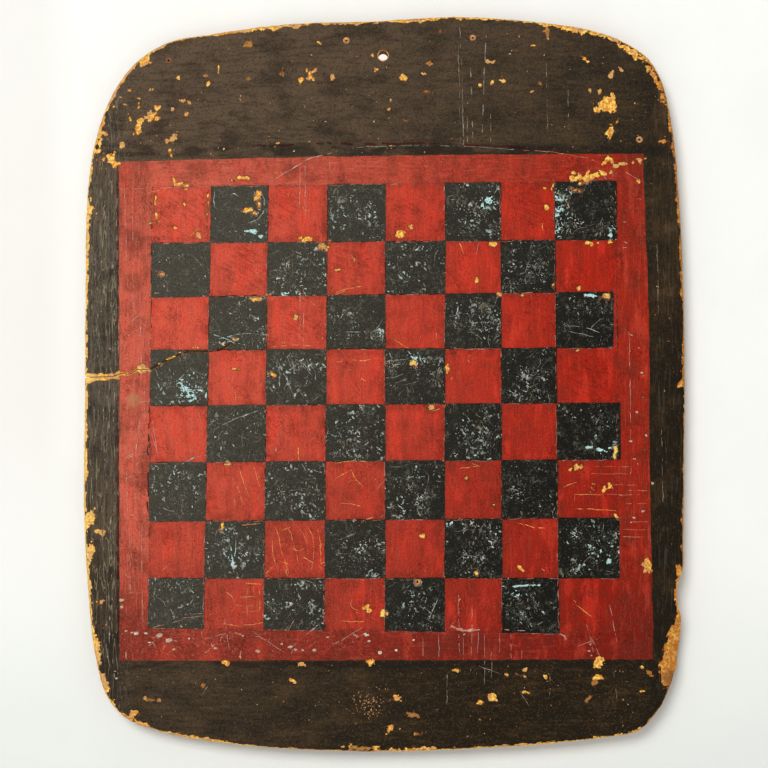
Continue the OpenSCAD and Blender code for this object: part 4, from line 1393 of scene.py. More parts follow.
@dataclass
class Marks:
    """Everything small that lies on the paint: scratches, ruled lines, strewn strokes, spatter and lips.

    Attributes:
        work: The paintwork.
        thick: Height of a scratch, as a share of its half width.
        seed: Starts the random numbers.
    """

    work: Paintwork
    thick: float = 0.5
    seed: int = 11

    def __post_init__(self) -> None:
        """Starts the random numbers, which are drawn in the order of the calls."""
        self.rng = np.random.default_rng(self.seed)

    def above(self, at: Array, coat: float) -> Array:
        """Returns rows of x, z and height, for places on a coat whose height over the wood is given."""
        return np.column_stack([at, np.full(len(at), self.work.timber.thick + coat)])

    def level(self, x: float, z: float) -> float:
        """Returns the uppermost coat's height over the back plane at a place."""
        ruling, work = self.work.ruling, self.work
        thick = work.timber.thick
        file = int((x - ruling.left) // ruling.square_w) + 1
        rank = int((ruling.top - z) // ruling.square_h) + 1
        if not (1 <= file <= ruling.count and 1 <= rank <= ruling.count):
            return thick + work.base
        return thick + (work.top if ruling.dark(file, rank) else work.middle)

    def lines(self, name: str, drawn: Sequence[Scratch], finish: Material, seed: int) -> Piece:
        """Makes lines that follow drawn paths.

        Args:
            name: The piece's name.
            drawn: The lines.
            finish: Their material.
            seed: Chooses where they break and wander.
        """
        curve = bpy.data.curves.new(name, "CURVE")
        curve.dimensions = "3D"
        for number, scratch in enumerate(drawn):
            path = resample(np.array(scratch.points, float) * (1, -1), 0.7)
            x, z = path.T
            x = x + scratch.bend * Noise(5, seed + number).at(z * 1.7, x)
            z = z + scratch.bend * Noise(5, seed + number + 500).at(x, z)
            wear = Noise(3.2, seed + number + 900, 2).at(x, z)
            share = np.linspace(0, 1, len(x))
            taper = np.clip(6 * np.minimum(share, 1 - share) + 0.35, 0, 1)
            half = scratch.width / 2 * np.clip(1.1 + 0.9 * wear, 0.35, 1.7) * taper
            shown = wear > -1 + 1.5 * scratch.broken
            self._add_runs(curve, x, z, half, shown)
        growth = Growth(name, Thick=self.thick)
        radius = growth.out("GeometryNodeInputRadius")
        bars = growth.bar(growth.start["Geometry"], growth.start["Thick"], radius)
        return growth.run(bars, curve, name, finish)

    def _add_runs(self, curve: bpy.types.Curve, x: Array, z: Array, half: Array, shown: Array) -> None:
        """Adds each unbroken run of a line to a curve."""
        start = None
        for k in range(len(x) + 1):
            inside = k < len(x) and shown[k]
            if inside and start is None:
                start = k
            elif not inside and start is not None:
                if k - start > 1:
                    spline = curve.splines.new("POLY")
                    spline.points.add(k - start - 1)
                    for point, i in zip(spline.points, range(start, k)):
                        point.co = (x[i], z[i], self.level(x[i], z[i]), 1)
                        point.radius = half[i]
                start = None

    @staticmethod
    def strewn(name: str, shape: Shape, places: Array, sizes: Array, finish: Material) -> Piece:
        """Makes one small mark at each place.

        Args:
            name: The piece's name.
            shape: The marks' shape.
            places: Rows of x, z and height over the back plane.
            sizes: Each mark's length.
            finish: Their material.
        """
        mesh = bpy.data.meshes.new(name)
        mesh.from_pydata(places.tolist(), [], [])
        mesh.attributes.new("size", "FLOAT", "POINT").data.foreach_set("value", sizes.astype(np.float32))
        growth = Growth(name, Width=shape.width, Height=shape.height)
        wide, tall = growth.start["Width"], growth.start["Height"]
        if shape.mark is Mark.STROKE:
            bow = {"Resolution": 5, "Start": (-0.5, 0, 0), "Middle": (0.05, 0.2, 0), "End": (0.5, 0, 0)}
            one = growth.bar(growth.out("GeometryNodeCurveQuadraticBezier", {}, bow), tall, wide)
        elif shape.mark is Mark.BLOB:
            ball = {"Segments": 10, "Rings": 6, "Radius": 0.5}
            flat = growth.out("ShaderNodeCombineXYZ", {}, {0: 1.0, 1: wide, 2: tall})
            squashed = {"Geometry": growth.out("GeometryNodeMeshUVSphere", {}, ball), "Scale": flat}
            one = growth.out("GeometryNodeTransform", {}, squashed)
        else:
            circle = growth.out("GeometryNodeCurvePrimitiveCircle", {}, {"Resolution": 28, "Radius": 1.0})
            one = growth.bar(circle, tall, wide)
        turn = growth.node("FunctionNodeRandomValue", {"data_type": "FLOAT"}, {"Seed": shape.seed})
        turn.inputs[2].default_value, turn.inputs[3].default_value = map(math.radians, shape.turns)
        about = growth.out("ShaderNodeCombineXYZ", {}, {2: turn.outputs[1]})
        size = growth.out("GeometryNodeInputNamedAttribute", {"data_type": "FLOAT"}, {"Name": "size"})
        points = growth.out("GeometryNodeMeshToPoints", {}, {0: growth.start["Geometry"]})
        inputs = {"Points": points, "Instance": one, "Rotation": about, "Scale": size}
        made = growth.out("GeometryNodeInstanceOnPoints", {}, inputs)
        if shape.mark is Mark.BLOB:
            made = growth.wander(made, 1.1, 2.4)
        return growth.run(made, mesh, name, finish)

    def flecks(self, dark: bool, each: float, long: float) -> tuple[Array, Array]:
        """Chooses places for short strokes on the squares, gathered in clusters.

        Args:
            dark: On the black squares where they are worn, and otherwise on the red ones.
            each: How many there are on a square whose wear is 1.
            long: A usual stroke's length.

        Returns:
            Rows of x, z and height, and the strokes' lengths.
        """
        ruling, work, rng = self.work.ruling, self.work, self.rng
        places, sizes = [], []
        for file, rank, amount, u, v, spread in DARK_WEAR if dark else RED_WEAR:
            corners = ruling.corners(file, rank)
            (left, top), (right, bottom) = corners[0], corners[2]
            count = int(each * max(amount, 0.2))
            groups = max(3, count // 6)
            middle = rng.normal((u, v), max(spread * 0.75, 0.16), (groups, 2))
            middle = np.where(rng.random((groups, 1)) < 0.75, middle, rng.uniform(0.05, 0.95, (groups, 2)))
            at = middle[rng.integers(0, groups, count)] + rng.normal(0, 0.045, (count, 2))
            x, z = left + at[:, 0] * (right - left), top + at[:, 1] * (bottom - top)
            length = np.clip(long * rng.lognormal(0, 0.5, count), 0.35, 5)
            fits = within(corners, x, z) > length * 0.5
            for chip in work.field_chips:
                fits &= np.hypot(x - chip.x, z + chip.down) > chip.width * 0.55 + length * 0.4
            places.append(self.above(np.stack([x, z], 1)[fits], work.top if dark else work.middle))
            sizes.append(length[fits])
        return np.concatenate(places), np.concatenate(sizes)

    def hairs(self, dark: bool, each: float) -> list[Scratch]:
        """Returns thin curved scratches on the squares.

        Args:
            dark: On the black squares, and otherwise on the red ones.
            each: How many there are on a square whose wear is 1.
        """
        drawn, rng = [], self.rng
        squares = {row[:2]: row[2] for row in (DARK_WEAR if dark else RED_WEAR)}
        for (file, rank), amount in squares.items():
            corners = self.work.ruling.corners(file, rank)
            (left, top), (right, bottom) = corners[0], corners[2]
            for _ in range(round(each * (0.3 + amount) * rng.uniform(0.4, 1.3))):
                x, z = rng.uniform(left + 2, right - 2), rng.uniform(bottom + 2, top - 2)
                long, way, bow = rng.uniform(2, 6), rng.uniform(0, math.pi), rng.normal(0, 0.25)
                line = [
                    (x + long * k * math.cos(way + bow * k), z + long * k * math.sin(way + bow * k))
                    for k in (-1, -0.5, 0, 0.5, 1)
                ]
                line = [(a, -b) for a, b in line if within(corners, np.array(a), np.array(b)) > 0.4]
                if len(line) > 2:
                    drawn.append(Scratch(tuple(line), rng.uniform(0.14, 0.3), 0.2, 0.3))
        return drawn

    def specks(self, count: int) -> tuple[Array, Array]:
        """Tries places for tan specks all over the border, and returns them with the specks' widths."""
        outline = self.work.timber.outline
        inset = outline.mean(0) + (outline - outline.mean(0)) * 0.965
        at = self.rng.uniform(outline.min(0), outline.max(0), (count, 2))
        fits = Timber.contains(at, inset) & (within(self.work.ruling.field_corners(), *at.T) < -2)
        fits &= np.hypot(*at.T) > 7
        at = at[fits]
        return self.above(at, self.work.base), self.rng.uniform(0.35, 1.0, len(at))

    def dusting(self, count: int) -> tuple[Array, Array]:
        """Chooses places for short dusty strokes on the field's margins, most of them low at the left.

        Args:
            count: How many are tried low at the left. Fewer are tried along the sides.

        Returns:
            Rows of x, z and height, and the strokes' lengths.
        """
        at = np.concatenate([
            self.rng.normal(middle, spread, (tries, 2)) for middle, spread, tries in (
                ((-100, -381), (45, 6), count), ((-161, -260), (5, 80), count // 2),
                ((163, -150), (5, 60), count // 8),
            )
        ])
        ruling = self.work.ruling
        fits = within(ruling.field_corners(), *at.T) > 2
        inner = [ruling.crossing(*c) for c in ((0, 0), (8, 0), (8, 8), (0, 8))]
        fits &= within(inner, *at.T) < -2
        at = at[fits]
        return self.above(at, self.work.base), np.clip(self.rng.lognormal(0.5, 0.6, len(at)), 0.7, 5)

    def patch(self, count: int) -> tuple[Array, Array]:
        """Chooses places and sizes for the small pale dots in the middle of the bottom band."""
        at = self.rng.normal((-8, -422), (6, 5), (count, 2))
        return self.above(at, self.work.base), self.rng.uniform(0.4, 0.9, count)

    def spots(self, drawn: Spots) -> tuple[Array, Array]:
        """Returns places and sizes of spots that are drawn as x, down and width."""
        places = [(x, -down, self.level(x, -down)) for x, down, _ in drawn]
        return np.array(places), np.array(drawn)[:, 2]

    def nails(self, width: float) -> tuple[Array, Array]:
        """Returns places and sizes of the lips round the nail holes."""
        holes = np.array(self.work.timber.holes[1:])
        return self.above(holes[:, :2], 0.0), np.full(len(holes), width)

    def edges(self) -> list[tuple[Place, Place]]:
        """Returns both ends of the squares' sides, but for the outer ones of the last red squares."""
        ruling = self.work.ruling
        found = []
        for k in range(ruling.count + 1):
            for j in range(ruling.count):
                if k == ruling.count and not ruling.dark(ruling.count, j + 1):
                    continue
                for a, b in ((ruling.crossing(k, j), ruling.crossing(k, j + 1)),
                             (ruling.crossing(j, k), ruling.crossing(j + 1, k))):
                    found.append(((a[0], -a[1]), (b[0], -b[1])))
        return found

    def ruled(self) -> list[Scratch]:
        """Returns the dark lines along the squares' sides and above the field, and dark lines of painted
        shade beside the paint ridges at the field's and the squares' left edges.
        """
        ruling = self.work.ruling
        top, bottom = -ruling.top, ruling.count * ruling.square_h - ruling.top
        drawn = [
            Scratch((a, b), 0.34, 0.68, 0.4) for a, b in self.edges()
            if abs(a[0] - b[0]) < 5 or top + 5 < a[1] < bottom - 5
        ]
        return drawn + [
            # Painted shade beside the paint ridge at the squares' left edge
            Scratch(((-152, 226), (-152.8, 262), (-152.5, 300)), 0.6, 0.5, 0.6),
            # Painted shade beside the paint ridge at the field's left edge
            Scratch(((-172.4, 72), (-172.8, 200)), 0.8, 0.4, 0.5),
            Scratch(((-172.8, 214), (-172.4, 300), (-172, 392)), 0.9, 0.3, 0.5),
            Scratch(((-94, 184), (-92.4, 181.5), (-91, 178.6)), 0.5, 0.1),
            Scratch(((-93, 59), (-40, 57.5), (40, 57), (112, 60.5)), 0.8, 0.45, 0.6),
        ]

    def rubbed(self) -> list[Scratch]:
        """Returns the pale rubbed lines beside the squares' sides."""
        drawn = []
        for number, ((ax, ad), (bx, bd)) in enumerate(self.edges()):
            aside = 0.35 if number % 2 else -0.4
            across = (aside, 0) if abs(bx - ax) < abs(bd - ad) else (0, aside)
            line = ((ax + across[0], ad + across[1]), (bx + across[0], bd + across[1]))
            drawn.append(Scratch(line, 0.36, 0.6, 0.5))
        return drawn






def tone(red: float, green: float, blue: float) -> tuple[float, float, float, float]:
    """Returns a colour written as it looks on a screen, from 0 to 255, as linear light."""
    shares = [v / 255 for v in (red, green, blue)]
    return (*[v / 12.92 if v <= 0.04045 else ((v + 0.055) / 1.055) ** 2.4 for v in shares], 1.0)


class Mixer(Nodes):
    """Builds one material from nodes."""

    def __init__(self, name: str) -> None:
        """Starts a material whose patterns lie on the object, in millimetres."""
        self.material = bpy.data.materials.new(name)
        self.material.use_nodes = True
        super().__init__(self.material.node_tree)
        self.tree.nodes.clear()
        place = self.node("ShaderNodeTexCoord").outputs["Object"]
        self.place = self.out("ShaderNodeMapping", {}, {0: place, 3: (1 / MM,) * 3})
        split = self.node("ShaderNodeSeparateXYZ", {}, {0: self.place})
        self.x, self.y, self.z = (Value(self, s) for s in split.outputs)


    def math(self, operation: str, first: Number, second: Number) -> Value:
        """Adds a Math node."""
        return Value(self, self.out("ShaderNodeMath", {"operation": operation}, {0: first, 1: second}))

    def blend(self, share: Number, low: Socket | Colour, high: Socket | Colour) -> Socket:
        """Returns a colour between two colours."""
        return self.node("ShaderNodeMix", {"data_type": "RGBA"}, {0: share, 6: low, 7: high}).outputs[2]

    def coats(self, colour: Socket | Colour, *coats: tuple[Number, Socket | Colour]) -> Socket:
        """Returns a colour with others laid over it, each given as its share and itself."""
        for share, tint in coats:
            colour = self.blend(share, colour, tint)
        return colour

    @property
    def down(self) -> Value:
        """Returns how far a place lies below the hanging hole."""
        return self.z * -1

    def beside(self) -> Value:
        """Returns how far a place is from the nearest side of a square."""
        ruling = Ruling()
        across = self.math("PINGPONG", self.x - ruling.left, ruling.square_w / 2)
        down = self.math("PINGPONG", self.z - ruling.top, ruling.square_h / 2)
        return self.math("MINIMUM", across, down)

    def near(self, spots: Spots) -> Value:
        """Returns 1 at some places, given as x, down and reach, and 0 away from them."""
        found: Number = 0.0
        for x, down, reach in spots:
            away = self.math("SQRT", (self.x - x) * (self.x - x) + (self.z + down) * (self.z + down), 0.0)
            found = self.math("MAXIMUM", found, away.above(reach * 1.2, reach * 0.6))
        return found

    def _moved(self, size: float, stretch: Triple, seed: int, turn: float = 0.0) -> Socket:
        """Returns the place, turned and scaled for a pattern and moved to a part of it that is its own."""
        place = self.place
        if turn:
            inputs = {"Vector": place, "Angle": math.radians(turn)}
            place = self.out("ShaderNodeVectorRotate", {"rotation_type": "Y_AXIS"}, inputs)
        scale = tuple(1 / (size * s) for s in stretch)
        shift = (seed * 3.7, seed * 1.3, seed * 2.9)
        return self.out("ShaderNodeVectorMath", {"operation": "MULTIPLY_ADD"}, {0: place, 1: scale, 2: shift})

    def noise(self, size: float, seed: int, detail: float = 3.0, stretch: Triple = (1, 1, 1),
              rough: float = 0.55, bend: float = 0.0, turn: float = 0.0) -> Value:
        """Returns cloudy noise, mostly from 0.3 to 0.7.

        Args:
            size: Its swells in millimetres.
            seed: Moves the pattern.
            detail: How many finer sizes it has.
            stretch: How much longer its swells are along x, y and z.
            rough: How strong the finer sizes are.
            bend: How far it is distorted.
            turn: How far it is turned on the face, in degrees.
        """
        inputs = {"Vector": self._moved(size, stretch, seed, turn), "Scale": 1.0, "Detail": detail}
        inputs |= {"Roughness": rough, "Distortion": bend}
        return Value(self, self.out("ShaderNodeTexNoise", {}, inputs))

    def cells(self, size: float, seed: int, stretch: Triple = (1, 1, 1)) -> Value:
        """Returns the distance to the nearest of many scattered points, as a share of their spacing."""
        inputs = {"Vector": self._moved(size, stretch, seed), "Scale": 1.0}
        return Value(self, self.out("ShaderNodeTexVoronoi", {}, inputs))

    def finish(self, colour: Socket, rough: Number, height: Value, relief: float,
               shine: float = 0.08) -> Material:
        """Joins the material's surface and returns the material.

        Args:
            colour: Its colour.
            rough: Its roughness.
            height: Its relief, from 0 to 1.
            relief: How high the relief is, in millimetres.
            shine: How strongly it mirrors.
        """
        bump = self.out("ShaderNodeBump", {}, {"Strength": 1.0, "Distance": relief * MM, "Height": height})
        inputs = {"Base Color": colour, "Roughness": rough, "Normal": bump, "Specular IOR Level": shine}
        self.node("ShaderNodeOutputMaterial", {}, {0: self.out("ShaderNodeBsdfPrincipled", {}, inputs)})
        return self.material


@dataclass(frozen=True)
class AgedWood:
    """Bare wood: yellow to amber where paint has come away, browner at the sides and the back.

    Attributes:
        name: The material's name.
        fresh: Colour of the freshest chips.
        amber: Colour of most bare places.
        tan: Colour of the dull ones.
        brown: Colour of the dirty ones.
        cream: Colour of the bare edge at the left.
        right: Colour of the bare edge at the right.
        aged: Colour of the sides and the back.
        deep: Colour of the darkest grain there.
        dull: Where the wood is dirtiest, as x, down and reach.
        soft: Where chips are tan.
        lemon: Where chips are yellow.
        clean: Where chips are bright amber all over.
        crack: Where the split is narrow: its sides there are drawn near black, painted shade inside the gap
            with some dirt.
        yellow: Colour of the yellow chips.
        pit: Colour of the narrow split's sides, painted shade and dirt.
        browned: How far in front of the back the old brown starts to end, and where it ends.
        shine: How strongly it mirrors.
    """

    name: str = "aged_wood"
    fresh: Colour = tone(255, 212, 104)
    amber: Colour = tone(222, 138, 48)
    tan: Colour = tone(196, 146, 102)
    brown: Colour = tone(126, 78, 42)
    cream: Colour = tone(250, 208, 118)
    right: Colour = tone(196, 118, 40)
    aged: Colour = tone(150, 108, 66)
    deep: Colour = tone(88, 58, 36)
    yellow: Colour = tone(252, 222, 110)
    pit: Colour = tone(38, 28, 18)
    dull: Spots = (
        (-139.5, 3, 3.5), (58, 0, 3.5), (161, 66, 3.5), (-88, -7.5, 4), (172, 402, 4), (-88, 15, 3),
        (106.5, -15, 4), (-113, 13, 3), (-66, 11, 3), (23, 441, 3), (186, 404, 5), (-150, 419, 5),
        (-117, 409, 3), (-14, 450, 9), (138, 408, 3), (28, 23, 3), (29, 5, 3), (102, 18, 3), (0, -4, 3),
        (18, 428, 4), (23, 430, 4), (133.5, 417.5, 4),
    )
    soft: Spots = (
        (-168, 29, 9), (-132, 32, 9), (-152, 22, 5), (-137, 53, 3), (-43, 10, 3), (-70, 58, 4), (6, 33, 9),
        (72, 4, 5), (99, 20, 6), (151, 12, 7), (137, 22, 5), (-144, 142, 3), (-33, 13, 3), (90, 402, 5),
        (0, 1, 6),
    )
    lemon: Spots = ((152, 258, 6), (19.3, 199.8, 4), (77, 15, 3), (-1, 362, 4))
    clean: Spots = ((146, 31, 10), (148, 48, 6))
    crack: Spots = tuple((x, -z, 3.6) for x, z in Split().line(4.0) if x > -151)
    browned: Place = (6.5, 9.8)
    shine: float = 0.13

    def material(self) -> Material:
        """Returns the finish."""
        m = Mixer(self.name)
        patches = m.noise(2.0, 1, 3)
        fine = m.noise(1.3, 2, 4, rough=0.65)
        grain = m.noise(2.2, 3, 4, (9, 1, 1), bend=0.6)
        dusty = m.noise(10, 5, 2).above(0.48, 0.6) * (1 - m.near(self.clean))
        bare = m.coats(
            self.amber,
            (patches.above(0.42, 0.58), self.fresh),
            (dusty * 0.62, self.tan),
            ((m.x * -1).above(180, 192) * 0.5, self.cream),
            (m.near(self.soft) * 0.7, self.tan),
            (m.x.above(164, 182) * (0.94 - patches.above(0.48, 0.6) * 0.5), self.right),
            (fine.above(0.52, 0.68) * 0.6, self.brown),
            (m.near(self.dull) * 0.75, self.brown),
            (grain.above(0.54, 0.66) * 0.35, self.brown),
            (m.near(self.lemon) * 0.6, self.yellow),
            # Near black along the narrow split: painted shade inside the gap, with some dirt
            (m.near(self.crack) * 0.9, self.pit),
        )
        rings = m.noise(8, 4, 2, (26, 1, 1), bend=0.5)
        fibres = m.noise(1.0, 7, 4, (45, 1.5, 1), rough=0.6)
        old = m.coats(
            self.aged,
            (rings.above(0.4, 0.62) * 0.6, self.deep),
            (fibres.above(0.47, 0.64) * 0.55, self.deep),
            (fibres.above(0.46, 0.34) * 0.3, self.tan),
            (m.noise(60, 6, 3).above(0.45, 0.7) * 0.35, self.deep),
        )
        colour = m.blend((m.y * -1).above(*self.browned), old, bare)
        return m.finish(colour, 0.6 + grain * 0.2, grain * 0.5 + fine * 0.5, 0.5, self.shine)


@dataclass(frozen=True)
class BorderPaint:
    """The border's dark brown paint, brushed along each band.

    Attributes:
        name: The material's name.
        light: Its colour towards the upper left, paler there with a painted sheen from the lamp at the left.
        dark: Its colour towards the lower right, where that painted sheen fades.
        dark: Its colour towards the lower right.
        thin: Where it is thin and lets the wood through.
        thick: Where it is thick, and its cracks.
        dust: Fine pale specks.
        grey: Its colour at the left edge, partly the paint's own grey and partly painted sheen from the lamp
            at the left, and the pale wrinkles there.
    """

    name: str = "border_paint"
    light: Colour = tone(91, 75, 59)
    dark: Colour = tone(31, 23, 9)
    thin: Colour = tone(104, 78, 50)
    thick: Colour = tone(20, 17, 12)
    dust: Colour = tone(170, 152, 122)
    grey: Colour = tone(104, 101, 92)

    def material(self) -> Material:
        """Returns the finish."""
        m = Mixer(self.name)
        # Parts of the border
        # Painted sheen: paler towards the upper left, from the lamp at the left
        sheen_falloff = (m.x * 0.8 - m.z * 0.45).above(-130, 260)
        side = abs(m.x - 1).above(168, 178)
        left = (m.x * -1).above(160, 178)
        high = m.z.above(-130, -70)
        rubbed = m.z.above(-210, -120) * 0.18 + m.noise(22, 23, 3).above(0.5, 0.6) * 0.22
        rubbed = m.x.above(172, 180) * rubbed * m.z.above(-360, -300)
        # Brushwork and age
        level = m.noise(2.2, 11, 5, (7, 1, 1), bend=0.6)
        upright = m.noise(1.5, 12, 4, (1, 1, 12), bend=0.8)
        strokes = level * (1 - side) + upright * side
        clouds = m.noise(17, 13, 5, (1.6, 1, 1), 0.6)
        cloth = m.noise(1.1, 14, 3, rough=0.8)
        cracks = upright.veins(0.012) * side + m.noise(5, 18, 3, (2, 1, 1), bend=0.5).veins(0.006) * 0.5
        edge = abs(m.z + 62).above(6, 2) * m.noise(7, 15, 3, (3, 1, 1)).above(0.4, 0.55)
        lower = abs(m.z + 396).above(3.2, 0.8) * (1 - side)
        edge = edge + lower * m.noise(9, 19, 3, (3, 1, 1)).above(0.36, 0.52)
        wrinkles = m.noise(4, 20, 2, (1, 1, 9), bend=0.8).veins(0.02) * left
        specks = m.cells(2.2, 16).above(0.12, 0.05) * m.noise(18, 17, 2).above(0.42, 0.62)
        colour = m.coats(
            # Paler at the upper left and darker to the lower right: a painted sheen from the lamp at the left
            self.light,
            (sheen_falloff, self.dark),
            # Greyer at the left edge: partly the paint's own grey, partly that painted sheen
            (left * (0.1 + m.z.above(-330, -180) * 0.3 - high * 0.18), self.grey),
            # Darker still at the right end of the top and bottom bands, away from that painted sheen
            (m.x.above(110, 170) * (high + m.down.above(400, 430)) * 0.22, self.thick),
            (rubbed, self.thin),
            (m.down.above(320, 384) * left * 0.5, self.thick),
            (clouds.above(0.45, 0.68) * 0.55, self.thick),
            (clouds.above(0.46, 0.3) * 0.2, self.thin),
            (strokes.above(0.51, 0.64) * (0.35 + side * 0.25), self.thick),
            (strokes.above(0.46, 0.34) * 0.16, m.blend(side, self.thin, self.grey)),
            (cloth.above(0.53, 0.66) * (0.42 - side * 0.2), self.thin),
            (cloth.above(0.47, 0.35) * (0.7 - side * 0.3), self.thick),
            (cracks * 0.7, self.thick),
            (edge * 0.6, self.thick),
            (wrinkles * 0.45, self.dust),
            (specks * 0.6, self.dust),
        )
        return m.finish(colour, 0.5 + cloth * 0.25, strokes * 0.6 + cloth * 0.4 - cracks * 0.4, 0.55)


@dataclass(frozen=True)
class RedPaint:
    """A brick red paint: the field's dull first coat, or the brighter one of its squares.

    Attributes:
        name: The material's name.
        left: Its colour towards the left, paler there with a painted sheen from the lamp at the left.
        right: Its colour towards the right, where that painted sheen fades.
        right: Its colour towards the right.
        bright: Its clearest bands.
        low: Its colour towards the bottom.
        dirt: Brown dirt in it.
        worn: Thin, paler places, drawn stronger at the left where they also carry the painted sheen.
        smear: Tan dirt rubbed on it.
        soiled: How dirty it is, from 0 to 1.
        margin: Whether it is brushed along the field's margins.
        wrinkled: Where it is wrinkled, as x, down and reach.
        smears: Where tan dirt is rubbed on it.
        smudges: Where brown dirt is rubbed on it.
    """

    name: str = "red_paint"
    left: Colour = tone(212, 84, 64)
    right: Colour = tone(170, 29, 9)
    bright: Colour = tone(232, 60, 40)
    low: Colour = tone(112, 12, 2)
    dirt: Colour = tone(88, 32, 20)
    worn: Colour = tone(214, 116, 84)
    smear: Colour = tone(172, 132, 92)
    soiled: float = 0.34
    margin: bool = False
    wrinkled: Spots = (
        (-133, 101, 17), (-64, 101, 13), (-22, 138, 14), (16, 100, 12), (-55, 175, 12), (95, 100, 12),
        (-91, 139, 18), (132, 211, 16),
    )
    smears: Spots = ((-162, 224, 5),)
    smudges: Spots = (
        (-154, 260, 3.4), (-154.4, 266, 3.4), (-154, 272, 3), (-154.4, 279, 3), (81, 248, 3), (-162, 120, 8),
        (-163, 148, 7), (-120, 74, 7), (-60, 76, 6), (35, 384, 9), (50, 381, 9), (64, 385, 9),
    )

    def material(self) -> Material:
        """Returns the finish."""
        m = Mixer(self.name)
        # Parts of the field
        across = m.x.above(-170, 170)
        sunk = m.down.above(290, 388) * 0.74 if self.margin else m.down.above(180, 400) * 0.46
        side = abs(m.x - 1).above(148, 156) if self.margin else 0.0
        ends = abs(m.z + 240).above(70, 180) * side * 0.34 + m.z.above(-84, -78) * (1 - across) * 0.08
        streaked = m.down.above(400, 350) * 0.14 + 0.1 if self.margin else 0.13
        rubbed = 0.0
        # Darker in patches near the squares' sides
        if not self.margin:
            rubbed = m.beside().above(5, 0.3) * m.noise(5, 41, 3, rough=0.7).above(0.36, 0.6) * 0.4
        # Brushwork and age
        fine = m.noise(1.15, 32, 3, rough=0.8)
        upright = m.noise(1.1, 22, 3, (1, 1, 12), bend=0.5)
        level = m.noise(1.4, 21, 3, (10, 1, 1), bend=0.5)
        strokes = level * (1 - side) + upright * side if self.margin else upright
        bands = m.noise(7, 31, 3, (1, 1, 3.5))
        clouds = m.noise(11, 33, 5, rough=0.66)
        folds = m.noise(1.7, 40, 3, (5, 1, 1), bend=0.4, turn=-28).above(0.5, 0.62) * m.near(self.wrinkled)
        cracks = m.noise(4.4, 36, 3, (1, 1, 1.6), bend=0.5, turn=28).veins(0.01)
        cracks = cracks * m.noise(16, 37, 2).above(0.5, 0.64)
        spots = m.cells(3.6, 34).above(0.16, 0.06) * m.noise(9, 35, 2).above(0.45, 0.62)
        scuffs = m.cells(2.6, 38).above(0.12, 0.05) * m.noise(26, 39, 2).above(0.46, 0.6)
        colour = m.coats(
            self.left,
            # Paler at the left, darker to the right and the lower right: a painted sheen from the lamp at the
            # left
            (across, self.right),
            (sunk, self.low),
            (across * m.down.above(100, 330) * 0.2, self.low),
            (ends, self.dirt),
            (bands.above(0.52, 0.66) * (0.45 - 0.3 * self.soiled), self.bright),
            (clouds.above(0.45, 0.7) * self.soiled, self.dirt),
            (rubbed, self.dirt),
            (bands.above(0.47, 0.36) * (0.1 + 0.3 * self.soiled), self.dirt),
            (strokes.above(0.52, 0.66) * streaked, self.dirt),
            # Pale streaks and specks are stronger at the left: partly wear, partly that painted sheen
            (strokes.above(0.45, 0.34) * (1.1 - across * 0.65) * streaked, self.worn),
            (fine.above(0.52, 0.68) * 0.42, self.dirt),
            (fine.above(0.46, 0.34) * (0.34 - across * 0.23), self.worn),
            (folds * 0.28, self.dirt),
            (cracks * 0.2, self.dirt),
            (spots * 0.6, self.dirt),
            (scuffs * 0.5, self.worn),
            (m.near(self.smears) * fine.above(0.4, 0.56) * 0.75, self.smear),
            (m.near(self.smudges) * fine.above(0.62, 0.42) * 0.6, self.dirt),
        )
        relief = strokes * 0.35 + fine * 0.45 - cracks * 0.5 - folds * 0.3
        return m.finish(colour, 0.48 + fine * 0.25, relief, 0.7)


@dataclass(frozen=True)
class BlackPaint:
    """The black of the dark squares, scuffed grey in places.

    Attributes:
        name: The material's name.
        left: Its colour towards the left, greyer there with a painted sheen from the lamp at the left.
        right: Its colour towards the right, where that painted sheen fades.
        right: Its colour towards the right.
        deep: Its darkest grain.
        scuff: Grey scuffs.
        speck: Fine specks of the pale coat under it.
    """

    name: str = "black_paint"
    left: Colour = tone(71, 67, 57)
    right: Colour = tone(15, 13, 7)
    deep: Colour = tone(14, 14, 12)
    scuff: Colour = tone(122, 120, 106)
    speck: Colour = tone(150, 166, 158)

    def material(self) -> Material:
        """Returns the finish."""
        m = Mixer(self.name)
        fine = m.noise(0.85, 42, 3, rough=0.75)
        haze = m.noise(2.2, 46, 4, rough=0.65, bend=0.6)
        hairs = m.noise(1.1, 43, 3, (1, 1, 4), bend=1.2, turn=20)
        rubbed = m.noise(10, 41, 4).above(0.44, 0.64)
        specks = m.cells(1.4, 44).above(0.22, 0.1) * m.noise(7, 45, 3).above(0.5, 0.6)
        colour = m.coats(
            self.left,
            # Greyer at the left, darker to the lower right: a painted sheen from the lamp at the left
            ((m.x - m.z * 0.35).above(-110, 220), self.right),
            (fine.above(0.5, 0.36) * 0.75, self.deep),
            (haze.above(0.52, 0.68) * (0.1 + rubbed * 0.42), self.scuff),
            (fine.above(0.55, 0.7) * (0.14 + rubbed * 0.4), self.scuff),
            (hairs.above(0.58, 0.7) * rubbed * 0.5, self.scuff),
            (specks * 0.55, self.speck),
        )
        return m.finish(colour, 0.5 + fine * 0.25, fine * 0.6 + hairs * 0.4, 0.5)


